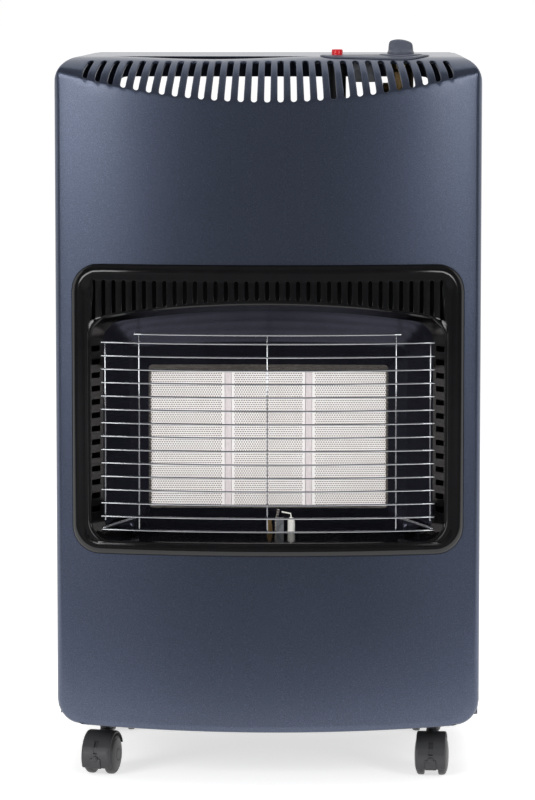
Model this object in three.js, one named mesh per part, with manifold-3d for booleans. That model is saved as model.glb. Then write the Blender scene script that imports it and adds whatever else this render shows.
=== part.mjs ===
// A portable gas cabinet heater: a bowed sheet-steel cabinet on four swivelling castors, with a
// three-plaque radiant burner behind a wire guard, controls on top and a tilting rear cover.
// Millimetres. +X is the heater's left-to-right as seen from the front, +Y runs to the rear, +Z is up.
// While it is built, y = 0 is the line of the front panel's side edges and z = 0 is the floor.
import * as THREE from "three";
import { mergeVertices } from "three/addons/utils/BufferGeometryUtils.js";
import Module from "manifold-3d";

const wasm = await Module();
wasm.setup();

// ---- Driving dimensions ----

const FIT = 0.3; // gap between pieces that touch
const SHEET = 1.2; // folded sheet of the wrapper, frame, funnel and chassis parts

// Cabinet
const WIDTH = 420;
const HEIGHT = 722;
const CORNER_R = 25;
const BODY_DEPTH = 345; // rear face of the wrapper
const SEAM_Y = 48; // where the front panel meets the wrapper
const PANEL_SHEET = 1.5;
const PANEL_BOTTOM = 59.5;
const PANEL_DIP = 3; // the lower edge hangs lower in the middle
const HEM_DEPTH = 16; // bottom return of the front panel

// Bowed face and rolled shoulder of the front panel
const BOW_HALF = 204;
const BOW_DEPTH = 31.5;
const EDGE_R = 6;
const ROLL_R = 64;
const ROLL_Y = 37.5; // where the roll leaves the flat top
const BEVEL_ANGLE = THREE.MathUtils.degToRad(43);
const CREASE_BLEND = 6;

// Outlet slots across the shoulder
const SLOT_COUNT = 29;
const SLOT_PITCH = 13;
const SLOT_WIDTH = 5.9;
const SLOT_TOP_Y = 15;
const SLOT_BELOW_CREASE = 2.5;

// Bezel
const BEZEL_WIDTH = 387;
const BEZEL_BOTTOM = 232.4;
const BEZEL_TOP = 520;
const BEZEL_R = 27;
const BEZEL_PROUD = 6;
const RIM_WIDTH = 8;
const BEZEL_LAP = 9.5; // overlap of the bezel on the panel round the aperture
const BEZEL_SLOT_COUNT = 35;
const BEZEL_SLOT_PITCH = 10.07;
const BEZEL_SLOT_WIDTH = 3.8;
const BEZEL_SLOT_TOP = 505;
const BEZEL_SLOT_BOTTOM = 485.3;
const BEZEL_SLOT_ARCH_R = 727;
const VENT_COUNT = 13;
const VENT_HEIGHT = 5.6;
const VENT_FRONT = -11;
const VENT_REAR = 0;
const FUNNEL_BACK = 4;

// Openings of the funnel, front to back: half width, bottom, crown of the arched top, arch radius,
// top corner radius and bottom corner radius
const MOUTH = { half: 174, bottom: 246.5, crown: 481, arch: 1000, top: 24, foot: 20 };
const THROAT = { half: 163, bottom: 251, crown: 473, arch: 1000, top: 20, foot: 16 };
const REFLECTOR_KNEE = { half: 137, bottom: 252, crown: 440, arch: 2500, top: 12, foot: 8 };
const KNEE_Y = 18;
const REFLECTOR_END_ARCH = 20000;

// Burner
const BURNER_HALF = 116.8; // half of the ceramic's visible width
const BURNER_BOTTOM = 276.2;
const BURNER_TOP = 410;
const BURNER_Y = 25.8; // front face of the ceramic
const PLAQUE_THICKNESS = 13;
const PLAQUE_LAP = 3; // ceramic held behind the frame's lip
const GASKET_WIDTH = 6.5;
const FRAME_WALL = 4.7; // from the ceramic's visible edge to the frame's outside
const FRAME_TOP_BAR = 8.5;
const BOX_FLANGE = 6.5;

// Heat shield and mixing tubes
const SHIELD_Y = 60;
const SHIELD_BOTTOM = 181;
const SHIELD_DROP = 177; // from the cabinet's top to the shield's
const SHIELD_FLANGE = 10;
const TUBE_PITCH = 79;
const TUBE_Y = 48;
const TUBE_R = 7;
const TUBE_THROAT_R = 5;
const TUBE_BELL_R = 9.5;
const TUBE_WALL = 1;
const TUBE_LENGTH = 67; // from the burner box down to the bell mouth
const RAIL_Z = 188;
const RAIL_HEIGHT = 22;
const RAIL_REACH = 9; // in front of the injectors' axes
const RAIL_OVERHANG = 22;
const INJECTOR_R = 4;
const INJECTOR_HEIGHT = 12;
const NIPPLE_LENGTH = 4;

// Wire guard
const WIRE_R = 1.05;
const GUARD_WIRES = 15;
const GUARD_PITCH = 13.26;
const GUARD_TOP = 442.5;
const GUARD_HALF = 165;
const GUARD_SHORT_HALF = 132;
const GUARD_SHORT_Z = 451.2;
const GUARD_OUTER_X = 160.2;
const GUARD_INNER_X = 126.4;
const GUARD_SET_BACK = 0.4; // behind the bowed face
const STAY_R = 1.9;
const STAY_REAR_HALF = 131;
const STAY_FRONT_HALF = GUARD_HALF - 3;

// Rear
const FRAME_STILE = 38;
const FRAME_HEAD = 24.5;
const FRAME_SILL = 30;
const FRAME_BASE_Z = 61;
const COVER_HALF = 184;
const COVER_BOTTOM = 72;
const COVER_DROP = 70; // from the cabinet's top to the cover's
const COVER_R = 14;
const COVER_SHEET = 1.4;
const COVER_BULGE = 25;
const COVER_FLANGE = 16;
const COVER_SLOPE = 6;
const HOOK_Z = 65;
const HOOK_R = 2;
const HOOK_X = 120;
const HOOK_WIDTH = 40;
const LOUVRE_LENGTH = 100;
const LOUVRE_HEIGHT = 5;
const LOUVRE_PITCH = 16;
const LOUVRE_ROWS = 4;

// Base tray
const TRAY_Z = 62;
const TRAY_SHEET = 1.5;
const TRAY_WALL = 22;
const TRAY_FRONT = 17.5;
const TRAY_NOSE_HALF = 183; // half width where the tray runs between the panel's lower corners

// Castors
const CASTOR_X = 165;
const CASTOR_FRONT_Y = 62;
const CASTOR_REAR_Y = 300;
const CASTOR_TRAIL = 12;
const CASTOR_SWIVEL = { front_left: -15, front_right: -4, rear_left: 10, rear_right: -8 };
const WHEEL_R = 20;
const WHEEL_INNER = 7;
const WHEEL_OUTER = 16.5;
const HOOD_R = 24;
const HOOD_INNER_R = 21.8;
const HOOD_HALF = 15;
const WEB_HALF = 6.3;
const STEM_R = 3.5;
const STEM_TIP_Z = 17;
const AXLE_R = 2.4;
const BORE_CLEARANCE = 0.4;
const CASTOR_PLATE = 38;
const CASTOR_PLATE_THICKNESS = 2;

// Controls
const KNOB_X = 130.5;
const KNOB_Y = 46;
const KNOB_R = 13.35;
const KNOB_LIFT = 3.3; // the knob's lower edge over the cabinet's top
const KNOB_HEIGHT = 13.7;
const KNOB_BAR = 10;
const KNOB_SLOPE = THREE.MathUtils.degToRad(8);
const PLATE_R = 28.5;
const PLATE_SMALL_R = 17;
const PLATE_WALL = 1.5;
const PLATE_RING_R = 23.6;
const BUTTON_X = 67.7;
const BUTTON_Y = 40;
const BUTTON_R = 5.5;
const BUTTON_PROUD = 7;
const BUTTON_LENGTH = 19;
const BRACKET_DROP = 7; // from the cabinet's top down to the bracket
const BRACKET_SHEET = 1.5;
const BRACKET_HALF = 60.5;
const BRACKET_FRONT = 22;
const BRACKET_REAR = 78;
const BRACKET_TAB_LEFT = 23.1; // from the bracket's middle
const BRACKET_TAB_WIDTH = 25;
const BRACKET_TAB_DROP = 18;
const VALVE_R = 13;
const VALVE_NECK_R = 7;
const VALVE_HEIGHT = 49; // from the valve's lower end to the bracket
const VALVE_INLET_RISE = 22;
const IGNITER_DEPTH = 53; // below the bracket
const IGNITER_R = 7.5;
const PLUNGER_DEPTH = 9.7; // of the plunger in the valve
const OUTLET_PITCH = 8.5;
const PIPE_R = 2.5;
const PILOT_PIPE_R = 1.8;
const PIPE_SPACING = 7;
const PIPE_LEG_INSET = 24; // from the cabinet's side to the innermost pipe that runs down it

// ---- Values worked out from them ----

const HALF = WIDTH / 2;
const KNOB_BASE = HEIGHT + KNOB_LIFT;
const KNOB_TOP = KNOB_BASE + KNOB_HEIGHT;
const BUTTON_TOP = HEIGHT + BUTTON_PROUD;
const BRACKET_Z = HEIGHT - BRACKET_DROP;
const VALVE_BOTTOM = BRACKET_Z - VALVE_HEIGHT;
const VALVE_INLET_Z = VALVE_BOTTOM + VALVE_INLET_RISE;
const PIPE_LEG_X = HALF - PIPE_LEG_INSET;
const COVER_TOP = HEIGHT - COVER_DROP;
const SHIELD_TOP = HEIGHT - SHIELD_DROP;
const BOW_R = (BOW_HALF ** 2 + BOW_DEPTH ** 2) / (2 * BOW_DEPTH);
const BOW_CENTRE_Y = BOW_R - BOW_DEPTH;
const ROLL_Z = HEIGHT - ROLL_R;
const BEVEL_START_Y = ROLL_Y - ROLL_R * Math.sin(BEVEL_ANGLE);
const BEVEL_START_Z = ROLL_Z + ROLL_R * Math.cos(BEVEL_ANGLE);
const BURNER_FRAME_FRONT = BURNER_Y - FIT - SHEET;
const BOX_FRONT = BURNER_Y + PLAQUE_THICKNESS + FIT;
const BOX_REAR = SHIELD_Y - FIT;
const FRAME_HALF = BURNER_HALF + FRAME_WALL;
const FRAME_BOTTOM = BURNER_BOTTOM - FRAME_WALL + SHEET;
const FRAME_TOP = BURNER_TOP + FRAME_TOP_BAR;
const TOP_INSIDE = HEIGHT - SHEET;
const SIDE_INSIDE = HALF - SHEET;
const HOOD_TOP = WHEEL_R + HOOD_R;
const REAR_MOST = BODY_DEPTH + COVER_SHEET + FIT + COVER_BULGE;
const FRONT_MOST = -BOW_DEPTH - BEZEL_PROUD;

// ---- Geometry helpers ----

const v2 = (x, y) => new THREE.Vector2(x, y);
const v3 = (x, y, z) => new THREE.Vector3(x, y, z);

// Points on an arc, both ends included.
function arc(cx, cy, r, from, to, steps) {
  return Array.from({ length: steps + 1 }, (_, i) => {
    const a = from + ((to - from) * i) / steps;
    return v2(cx + r * Math.cos(a), cy + r * Math.sin(a));
  });
}

// A rectangle with round corners, anticlockwise from its lower right corner.
function roundRect(x0, x1, y0, y1, r, steps = 5) {
  const q = Math.PI / 2;
  return [
    ...arc(x1 - r, y0 + r, r, -q, 0, steps),
    ...arc(x1 - r, y1 - r, r, 0, q, steps),
    ...arc(x0 + r, y1 - r, r, q, 2 * q, steps),
    ...arc(x0 + r, y0 + r, r, 2 * q, 3 * q, steps),
  ];
}


// Prisms of an outline. Along Z the outline is (x, y), along Y it is (x, z), along X it is (y, z).
function alongZ(outline, z0, z1) {
  const shape = new THREE.Shape(outline);
  return new THREE.ExtrudeGeometry(shape, { depth: z1 - z0, bevelEnabled: false }).translate(0, 0, z0);
}

function alongY(outline, y0, y1) {
  return alongZ(outline, 0, y1 - y0)
    .rotateX(Math.PI / 2)
    .translate(0, y1, 0);
}

function alongX(outline, x0, x1) {
  const turn = new THREE.Matrix4().makeBasis(v3(0, 1, 0), v3(0, 0, 1), v3(1, 0, 0));
  return alongZ(outline, 0, x1 - x0)
    .applyMatrix4(turn)
    .translate(x0, 0, 0);
}

const block = (x0, x1, y0, y1, z0, z1) =>
  new THREE.BoxGeometry(x1 - x0, y1 - y0, z1 - z0).translate(
    (x0 + x1) / 2,
    (y0 + y1) / 2,
    (z0 + z1) / 2,
  );

// A cylinder standing on (x, y, z0).
const post = (x, y, r, z0, z1, sides = 16) =>
  new THREE.CylinderGeometry(r, r, z1 - z0, sides).rotateX(Math.PI / 2).translate(x, y, (z0 + z1) / 2);

// A turned piece about the vertical through (x, y), from (radius, z) points.
const turned = (x, y, profile, sides = 16) =>
  new THREE.LatheGeometry(
    profile.map(([r, z]) => v2(r, z)),
    sides,
  )
    .rotateX(Math.PI / 2)
    .translate(x, y, 0);

// A route through chosen points, with each corner rounded, for rods, wires and pipes.
class Route extends THREE.Curve {
  constructor(points) {
    super();
    this.points = points;
  }
  getPoint(t, target = new THREE.Vector3()) {
    const last = this.points.length - 1;
    const at = Math.min(t * last, last - 1e-9);
    const i = Math.floor(at);
    return target.lerpVectors(this.points[i], this.points[i + 1], at - i);
  }
  getPointAt(u, target) {
    return this.getPoint(u, target);
  }
  getTangentAt(u, target = new THREE.Vector3()) {
    const i = Math.round(u * (this.points.length - 1));
    const before = this.points[Math.max(i - 1, 0)];
    const after = this.points[Math.min(i + 1, this.points.length - 1)];
    return target.subVectors(after, before).normalize();
  }
}

function rounded(corners, radius, steps = 3) {
  const points = [corners[0]];
  for (let i = 1; i < corners.length - 1; i++) {
    const reach = (end) => {
      const leg = end.clone().sub(corners[i]);
      return corners[i].clone().add(leg.setLength(Math.min(radius, leg.length() * 0.45)));
    };
    const bend = new THREE.QuadraticBezierCurve3(reach(corners[i - 1]), corners[i], reach(corners[i + 1]));
    points.push(...bend.getPoints(steps));
  }
  points.push(corners[corners.length - 1]);
  return points;
}

function rod(points, r, sides = 6) {
  const section = new THREE.Shape(arc(0, 0, r, 0, 2 * Math.PI, sides).slice(0, -1));
  return new THREE.ExtrudeGeometry(section, {
    extrudePath: new Route(points),
    steps: points.length - 1,
  });
}

// A closed surface through rings of equal length. A ring's first half runs left to right and its
// second half right to left, so flat or bowed ends are capped by strips across it.
function loft(rings, endless = false) {
  const size = rings[0].length;
  const positions = rings.flat().flatMap((p) => [p.x, p.y, p.z]);
  const index = [];
  const quad = (a, b, c, d) => index.push(a, b, c, a, c, d);
  const spans = endless ? rings.length : rings.length - 1;
  for (let k = 0; k < spans; k++) {
    const from = k * size;
    const to = ((k + 1) % rings.length) * size;
    for (let i = 0; i < size; i++) {
      const j = (i + 1) % size;
      quad(from + i, from + j, to + j, to + i);
    }
  }
  const cap = (base, flip) => {
    for (let i = 0; i < size / 2 - 1; i++) {
      const strip = [base + i, base + i + 1, base + size - 2 - i, base + size - 1 - i];
      quad(...(flip ? strip : strip.reverse()));
    }
  };
  if (!endless) {
    cap(0, false);
    cap((rings.length - 1) * size, true);
  }
  const geometry = new THREE.BufferGeometry();
  geometry.setAttribute("position", new THREE.Float32BufferAttribute(positions, 3));
  geometry.setIndex(index);
  return faceOut(geometry);
}

// Turns the faces round if the surface is inside out.
function faceOut(geometry) {
  const at = geometry.attributes.position;
  const order = geometry.index.array;
  const [a, b, c] = [v3(), v3(), v3()];
  let volume = 0;
  for (let i = 0; i < order.length; i += 3) {
    a.fromBufferAttribute(at, order[i]);
    b.fromBufferAttribute(at, order[i + 1]);
    c.fromBufferAttribute(at, order[i + 2]);
    volume += a.dot(b.cross(c));
  }
  if (volume < 0) {
    for (let i = 0; i < order.length; i += 3) {
      [order[i + 1], order[i + 2]] = [order[i + 2], order[i + 1]];
    }
  }
  return geometry;
}

function solid(geometry) {
  const bare = geometry.index ? geometry.toNonIndexed() : geometry.clone();
  bare.deleteAttribute("normal");
  bare.deleteAttribute("uv");
  const merged = mergeVertices(bare, 1e-4);
  return new wasm.Manifold(
    new wasm.Mesh({
      numProp: 3,
      vertProperties: merged.attributes.position.array,
      triVerts: new Uint32Array(merged.index.array),
    }),
  );
}

function surface(manifold) {
  const mesh = manifold.getMesh();
  const geometry = new THREE.BufferGeometry();
  geometry.setAttribute("position", new THREE.BufferAttribute(mesh.vertProperties, 3));
  geometry.setIndex(new THREE.BufferAttribute(mesh.triVerts, 1));
  return geometry;
}

const join = (...geometries) => surface(wasm.Manifold.union(geometries.map(solid)));

const cut = (geometry, ...tools) =>
  surface(solid(geometry).subtract(wasm.Manifold.union(tools.map(solid))));

const common = (a, b) => surface(solid(a).intersect(solid(b)));

// ---- Shape of the front ----

// y of the bowed face at x, for a skin set in by inset.
const bowAt = (x, inset = 0) => BOW_CENTRE_Y - Math.sqrt((BOW_R - inset) ** 2 - x * x);

// y of the plan outline of the face, which turns into the side through the edge radius.
function planAt(x, inset = 0) {
  const centreX = HALF - EDGE_R;
  const centreY = BOW_CENTRE_Y - Math.sqrt((BOW_R - EDGE_R) ** 2 - centreX ** 2);
  const tangentX = (centreX * BOW_R) / (BOW_R - EDGE_R);
  if (Math.abs(x) <= tangentX - inset) return bowAt(x, inset);
  const r = EDGE_R - inset;
  const along = Math.min(Math.abs(x) - centreX, r);
  return centreY - Math.sqrt(r * r - along * along);
}

// y of the rolled and bevelled shoulder at height z.
function shoulderAt(z, inset = 0) {
  const r = ROLL_R - inset;
  const bevelTop = ROLL_Z + r * Math.cos(BEVEL_ANGLE);
  if (z >= bevelTop) return ROLL_Y - Math.sqrt(Math.max(r * r - (z - ROLL_Z) ** 2, 0));
  return ROLL_Y - r * Math.sin(BEVEL_ANGLE) - (bevelTop - z) / Math.tan(BEVEL_ANGLE);
}

// y of the finished front surface: the face and the shoulder meet in a soft crease.
function frontAt(x, z, inset = 0) {
  const face = planAt(x, inset);
  const shoulder = shoulderAt(z, inset);
  const near = Math.max(CREASE_BLEND - Math.abs(face - shoulder), 0) / CREASE_BLEND;
  return Math.max(face, shoulder) + (near * near * CREASE_BLEND) / 4;
}

// Height at which the shoulder meets the bowed face at x.
function creaseAt(x) {
  const face = bowAt(x);
  if (face > BEVEL_START_Y) return ROLL_Z + Math.sqrt(ROLL_R ** 2 - (ROLL_Y - face) ** 2);
  return BEVEL_START_Z - (BEVEL_START_Y - face) * Math.tan(BEVEL_ANGLE);
}

// Front elevation of the cabinet, with round corners and a lower edge that hangs in the middle.
function elevation(inset = 0) {
  const w = HALF - inset;
  const r = CORNER_R - inset;
  const top = HEIGHT - inset;
  const bottom = PANEL_BOTTOM + inset;
  const q = Math.PI / 2;
  const dips = 8;
  const lower = Array.from({ length: dips - 1 }, (_, i) => {
    const t = (2 * (i + 1)) / dips - 1;
    return v2(t * (w - r), bottom - PANEL_DIP * (1 - t * t));
  });
  return [
    ...arc(w - r, bottom + r, r, -q, 0, 6),
    ...arc(w - r, top - r, r, 0, q, 6),
    ...arc(r - w, top - r, r, q, 2 * q, 6),
    ...arc(r - w, bottom + r, r, 2 * q, 3 * q, 6),
    ...lower,
  ];
}

// The space behind the front surface, back to rear, as a stack of plan sections.
function frontBody(inset, rear, columns, levels) {
  const halfX = HALF - inset;
  const flank = HALF - EDGE_R - inset / 2;
  const xs = Array.from({ length: columns + 1 }, (_, i) => flank * ((2 * i) / columns - 1));
  const edges = [0.55, 0.87, 1].map((t) => flank + (halfX - flank) * t);
  const xAll = [...edges.map((x) => -x).reverse(), ...xs, ...edges];
  const rings = levels.map((z) => {
    const front = xAll.map((x) => v3(x, frontAt(x, z, inset), z));
    const back = xAll.map((x) => v3(x, rear, z)).reverse();
    return [...front, ...back];
  });
  return loft(rings);
}

// Heights for the plan sections: one long run below the crease, then close steps round the roll.
function frontLevels(inset, bevelSteps, rollSteps) {
  const r = ROLL_R - inset;
  const lowest = creaseAt(0) - CREASE_BLEND;
  const bevelTop = ROLL_Z + r * Math.cos(BEVEL_ANGLE);
  const bevel = Array.from({ length: bevelSteps }, (_, i) => lowest + ((bevelTop - lowest) * i) / bevelSteps);
  const roll = Array.from({ length: rollSteps + 1 }, (_, i) => {
    return ROLL_Z + r * Math.cos(BEVEL_ANGLE * (1 - i / rollSteps));
  });
  return [PANEL_BOTTOM - PANEL_DIP - HEM_DEPTH, ...bevel, ...roll];
}

// An opening's outline (x, z): arched top, left to right, then the foot, right to left.
function openingRing({ half, bottom, crown, arch, top, foot }, grow, y) {
  const w = half + grow;
  const r = top + grow;
  const f = foot + grow;
  const archR = arch + grow;
  const archZ = crown - arch;
  const shoulderX = w - r;
  const shoulderZ = archZ + Math.sqrt((archR - r) ** 2 - shoulderX ** 2);
  const lean = Math.asin(shoulderX / (archR - r));
  const q = Math.PI / 2;
  const outline = [
    ...arc(-shoulderX, shoulderZ, r, 2 * q, q + lean, 3),
    ...arc(0, archZ, archR, q + lean, q - lean, 8).slice(1, -1),
    ...arc(shoulderX, shoulderZ, r, q - lean, 0, 3),
    ...arc(w - f, bottom - grow + f, f, 0, -q, 3),
    ...Array.from({ length: 7 }, (_, i) => v2((w - f) * (1 - (i + 1) / 4), bottom - grow)),
    ...arc(f - w, bottom - grow + f, f, -q, -2 * q, 3),
  ];
  return outline.map((p) => v3(p.x, typeof y === "function" ? y(p.x) : y, p.y));
}

const openingOutline = (opening, grow) => openingRing(opening, grow, 0).map((p) => v2(p.x, p.z));

// ---- Sub-parts ----

const root = new THREE.Group();
root.name = "gas_cabinet_heater";
const cabinet = new THREE.Group();
cabinet.position.y = -(FRONT_MOST + REAR_MOST) / 2;
root.add(cabinet);

const finish = (color, roughness, metalness) => ({ color, roughness, metalness });
const PAINT = finish(0x3c4658, 0.42, 0.45);
const ENAMEL = finish(0x0c0c0d, 0.12, 0.0);
const CHROME = finish(0xd8dade, 0.12, 1.0);
const POLISHED = finish(0x9a9ca6, 0.18, 1.0);
const STAINLESS = finish(0xb9b4ae, 0.28, 1.0);
const GALVANISED = finish(0x8e9296, 0.5, 0.8);
const CERAMIC = finish(0xe3ddd2, 0.85, 0.0);
const FIBRE = finish(0xcfc8c5, 0.95, 0.0);
const BRASS = finish(0xb08d4f, 0.35, 0.9);
const ALUMINIUM = finish(0xc4c6c8, 0.35, 0.9);
const PLASTIC = finish(0x2f3134, 0.5, 0.0);
const CONTROL = finish(0x4a4e5a, 0.45, 0.0);
const RED = finish(0xc4121f, 0.35, 0.0);
const PORCELAIN = finish(0xf2f1ee, 0.3, 0.0);
const STEEL = finish(0x9b9ea1, 0.4, 0.9);

function part(name, geometry, look, parent = cabinet) {
  const mesh = new THREE.Mesh(geometry, new THREE.MeshStandardMaterial(look));
  mesh.name = name;
  parent.add(mesh);
  return mesh;
}

const knobHole = () => post(KNOB_X, KNOB_Y, KNOB_R + 1.4, ROLL_Z, HEIGHT + 5, 20);
const buttonHole = () => post(BUTTON_X, BUTTON_Y, BUTTON_R + 3, ROLL_Z, HEIGHT + 5, 16);

// A slot's cutter: round at its rear end in plan and at its lower end in elevation, then swung
// about the bow's centre so that the slots fan.
function outletSlot(i) {
  const swing = ((i - (SLOT_COUNT - 1) / 2) * SLOT_PITCH) / BOW_R;
  const r = SLOT_WIDTH / 2;
  const rear = BOW_CENTRE_Y - (BOW_CENTRE_Y - SLOT_TOP_Y) / Math.cos(swing);
  const front = -BOW_DEPTH - BEZEL_PROUD;
  const lower = creaseAt(BOW_R * Math.sin(swing)) - SLOT_BELOW_CREASE;
  const above = HEIGHT + 5;
  const plan = [v2(-r, front), v2(r, front), ...arc(0, rear - r, r, 0, Math.PI, 3)];
  const face = [v2(r, above), v2(-r, above), ...arc(0, lower + r, r, Math.PI, 2 * Math.PI, 3)];
  const tool = common(alongZ(plan, lower - r, above), alongY(face, front, rear + r));
  return tool.translate(0, -BOW_CENTRE_Y, 0).rotateZ(swing).translate(0, BOW_CENTRE_Y, 0);
}

function frontPanel() {
  const outer = common(
    frontBody(0, SEAM_Y, 18, frontLevels(0, 3, 4)),
    alongY(elevation(), FRONT_MOST, SEAM_Y),
  );
  const inner = common(
    frontBody(PANEL_SHEET, SEAM_Y + 5, 9, frontLevels(PANEL_SHEET, 1, 3)),
    alongY(elevation(PANEL_SHEET), FRONT_MOST, SEAM_Y + 5),
  );
  const aperture = roundRect(
    BEZEL_LAP - BEZEL_WIDTH / 2,
    BEZEL_WIDTH / 2 - BEZEL_LAP,
    BEZEL_BOTTOM + BEZEL_LAP,
    BEZEL_TOP - BEZEL_LAP,
    BEZEL_R - BEZEL_LAP,
  );
  const low = PANEL_BOTTOM - PANEL_DIP - 1;
  return cut(
    outer,
    inner,
    alongY(aperture, FRONT_MOST, 0),
    block(CORNER_R - HALF, HALF - CORNER_R, HEM_DEPTH, SEAM_Y + 5, low, PANEL_BOTTOM + PANEL_SHEET + 1),
    knobHole(),
    buttonHole(),
    ...Array.from({ length: SLOT_COUNT }, (_, i) => outletSlot(i)),
  );
}

// Both sides and the top in one folded sheet.
function bodyWrapper() {
  const outline = (inset, bottom) => [
    v2(HALF - inset, bottom),
    ...arc(HALF - CORNER_R, HEIGHT - CORNER_R, CORNER_R - inset, 0, Math.PI / 2, 6),
    ...arc(CORNER_R - HALF, HEIGHT - CORNER_R, CORNER_R - inset, Math.PI / 2, Math.PI, 6),
    v2(inset - HALF, bottom),
  ];
  return cut(
    alongY(outline(0, TRAY_Z), SEAM_Y + FIT, BODY_DEPTH),
    alongY(outline(SHEET, TRAY_Z - 1), SEAM_Y, BODY_DEPTH + 1),
    knobHole(),
  );
}

// Rear panel of the cabinet, open for the cylinder, with two lugs that carry the cover's hooks.
function rearFrame() {
  const half = SIDE_INSIDE - FIT;
  const top = TOP_INSIDE - FIT;
  const r = CORNER_R - SHEET - FIT;
  const rear = BODY_DEPTH;
  const plate = alongY(
    [
      v2(half, FRAME_BASE_Z),
      ...arc(half - r, top - r, r, 0, Math.PI / 2, 6),
      ...arc(r - half, top - r, r, Math.PI / 2, Math.PI, 6),
      v2(-half, FRAME_BASE_Z),
    ],
    rear - SHEET,
    rear,
  );
  const opening = roundRect(
    FRAME_STILE - half,
    half - FRAME_STILE,
    FRAME_BASE_Z + FRAME_SILL,
    top - FRAME_HEAD,
    COVER_R,
  );
  const lip = HOOK_Z - HOOK_R - 0.5;
  const back = rear + FIT + 2 * HOOK_R + 0.8;
  const lug = [
    v2(rear - SHEET / 2, lip - SHEET),
    v2(back + SHEET, lip - SHEET),
    v2(back + SHEET, lip + HOOK_R),
    v2(back, lip + HOOK_R),
    v2(back, lip),
    v2(rear - SHEET / 2, lip),
  ];
  const reach = HOOK_WIDTH / 2 + 3;
  return join(
    cut(plate, alongY(opening, rear - 2 * SHEET, rear + 1)),
    ...[-HOOK_X, HOOK_X].map((x) => alongX(lug, x - reach, x + reach)),
  );
}

// Corner points of a round-cornered rectangle (x, z) as a loft ring at y.
function rectRing(half, bottom, top, r, y, arcSteps = 4, edgeSteps = 1) {
  const q = Math.PI / 2;
  const edge = (from, to, z) =>
    Array.from({ length: edgeSteps - 1 }, (_, i) => v2(from + ((to - from) * (i + 1)) / edgeSteps, z));
  const outline = [
    ...arc(r - half, top - r, r, 2 * q, q, arcSteps),
    ...edge(r - half, half - r, top),
    ...arc(half - r, top - r, r, q, 0, arcSteps),
    ...arc(half - r, bottom + r, r, 0, -q, arcSteps),
    ...edge(half - r, r - half, bottom),
    ...arc(r - half, bottom + r, r, -q, -2 * q, arcSteps),
  ];
  return outline.map((p) => v3(p.x, typeof y === "function" ? y(p.x) : y, p.y));
}

// A dished cover with louvres and a hand slot, whose two hooks sit in the frame's lugs.
function rearCover() {
  const front = BODY_DEPTH + FIT;
  const rear = front + COVER_SHEET;
  const ring = (inset, y) =>
    rectRing(COVER_HALF - inset, COVER_BOTTOM + inset, COVER_TOP - inset, COVER_R, y);
  const dish = loft([
    ring(COVER_FLANGE + COVER_SLOPE, rear + COVER_BULGE),
    ring(COVER_FLANGE, rear),
    ring(0, rear),
    ring(0, front),
    ring(COVER_FLANGE + COVER_SHEET, front),
    ring(COVER_FLANGE + COVER_SLOPE + COVER_SHEET, front + COVER_BULGE),
  ]);
  const slots = [];
  for (const x of [-LOUVRE_LENGTH * 0.75, LOUVRE_LENGTH * 0.75]) {
    for (let row = 0; row < LOUVRE_ROWS; row++) {
      for (const z of [COVER_BOTTOM + 60 + row * LOUVRE_PITCH, COVER_TOP - 90 - row * LOUVRE_PITCH]) {
        slots.push(
          block(
            x - LOUVRE_LENGTH / 2,
            x + LOUVRE_LENGTH / 2,
            front,
            rear + COVER_BULGE + 1,
            z,
            z + LOUVRE_HEIGHT,
          ),
        );
      }
    }
  }
  const hand = roundRect(-45, 45, COVER_TOP - 62, COVER_TOP - 40, 10.5, 3);
  const opened = cut(dish, ...slots, alongY(hand, front, rear + COVER_BULGE + 1));
  const hooks = [-HOOK_X, HOOK_X].flatMap((x) => [
    block(x - HOOK_WIDTH / 2, x + HOOK_WIDTH / 2, front, rear, HOOK_Z, COVER_BOTTOM + 1),
    alongX(
      arc(front + HOOK_R, HOOK_Z, HOOK_R, 0, 2 * Math.PI, 8).slice(0, -1),
      x - HOOK_WIDTH / 2,
      x + HOOK_WIDTH / 2,
    ),
  ]);
  return join(opened, ...hooks);
}

// Pressed floor with raised walls and drain slots that let leaked gas out.
function baseTray() {
  const half = SIDE_INSIDE - FIT;
  const rear = BODY_DEPTH - SHEET - FIT;
  const floor = TRAY_Z + TRAY_SHEET;
  const slots = [];
  for (const x of [-90, -30, 30, 90]) {
    for (const y of [150, 250]) {
      slots.push(alongZ(roundRect(x - 20, x + 20, y - 4, y + 4, 3.5, 1), TRAY_Z - 1, floor + 1));
    }
  }
  const plan = (inset) => [
    v2(TRAY_NOSE_HALF - inset, TRAY_FRONT + inset),
    v2(TRAY_NOSE_HALF - inset, SEAM_Y + FIT + inset),
    v2(half - inset, SEAM_Y + FIT + inset),
    v2(half - inset, rear - inset),
    v2(inset - half, rear - inset),
    v2(inset - half, SEAM_Y + FIT + inset),
    v2(inset - TRAY_NOSE_HALF, SEAM_Y + FIT + inset),
    v2(inset - TRAY_NOSE_HALF, TRAY_FRONT + inset),
  ];
  return cut(
    alongZ(plan(0), TRAY_Z, TRAY_Z + TRAY_WALL),
    alongZ(plan(TRAY_SHEET), floor, TRAY_Z + TRAY_WALL + 1),
    ...slots,
  );
}

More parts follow.
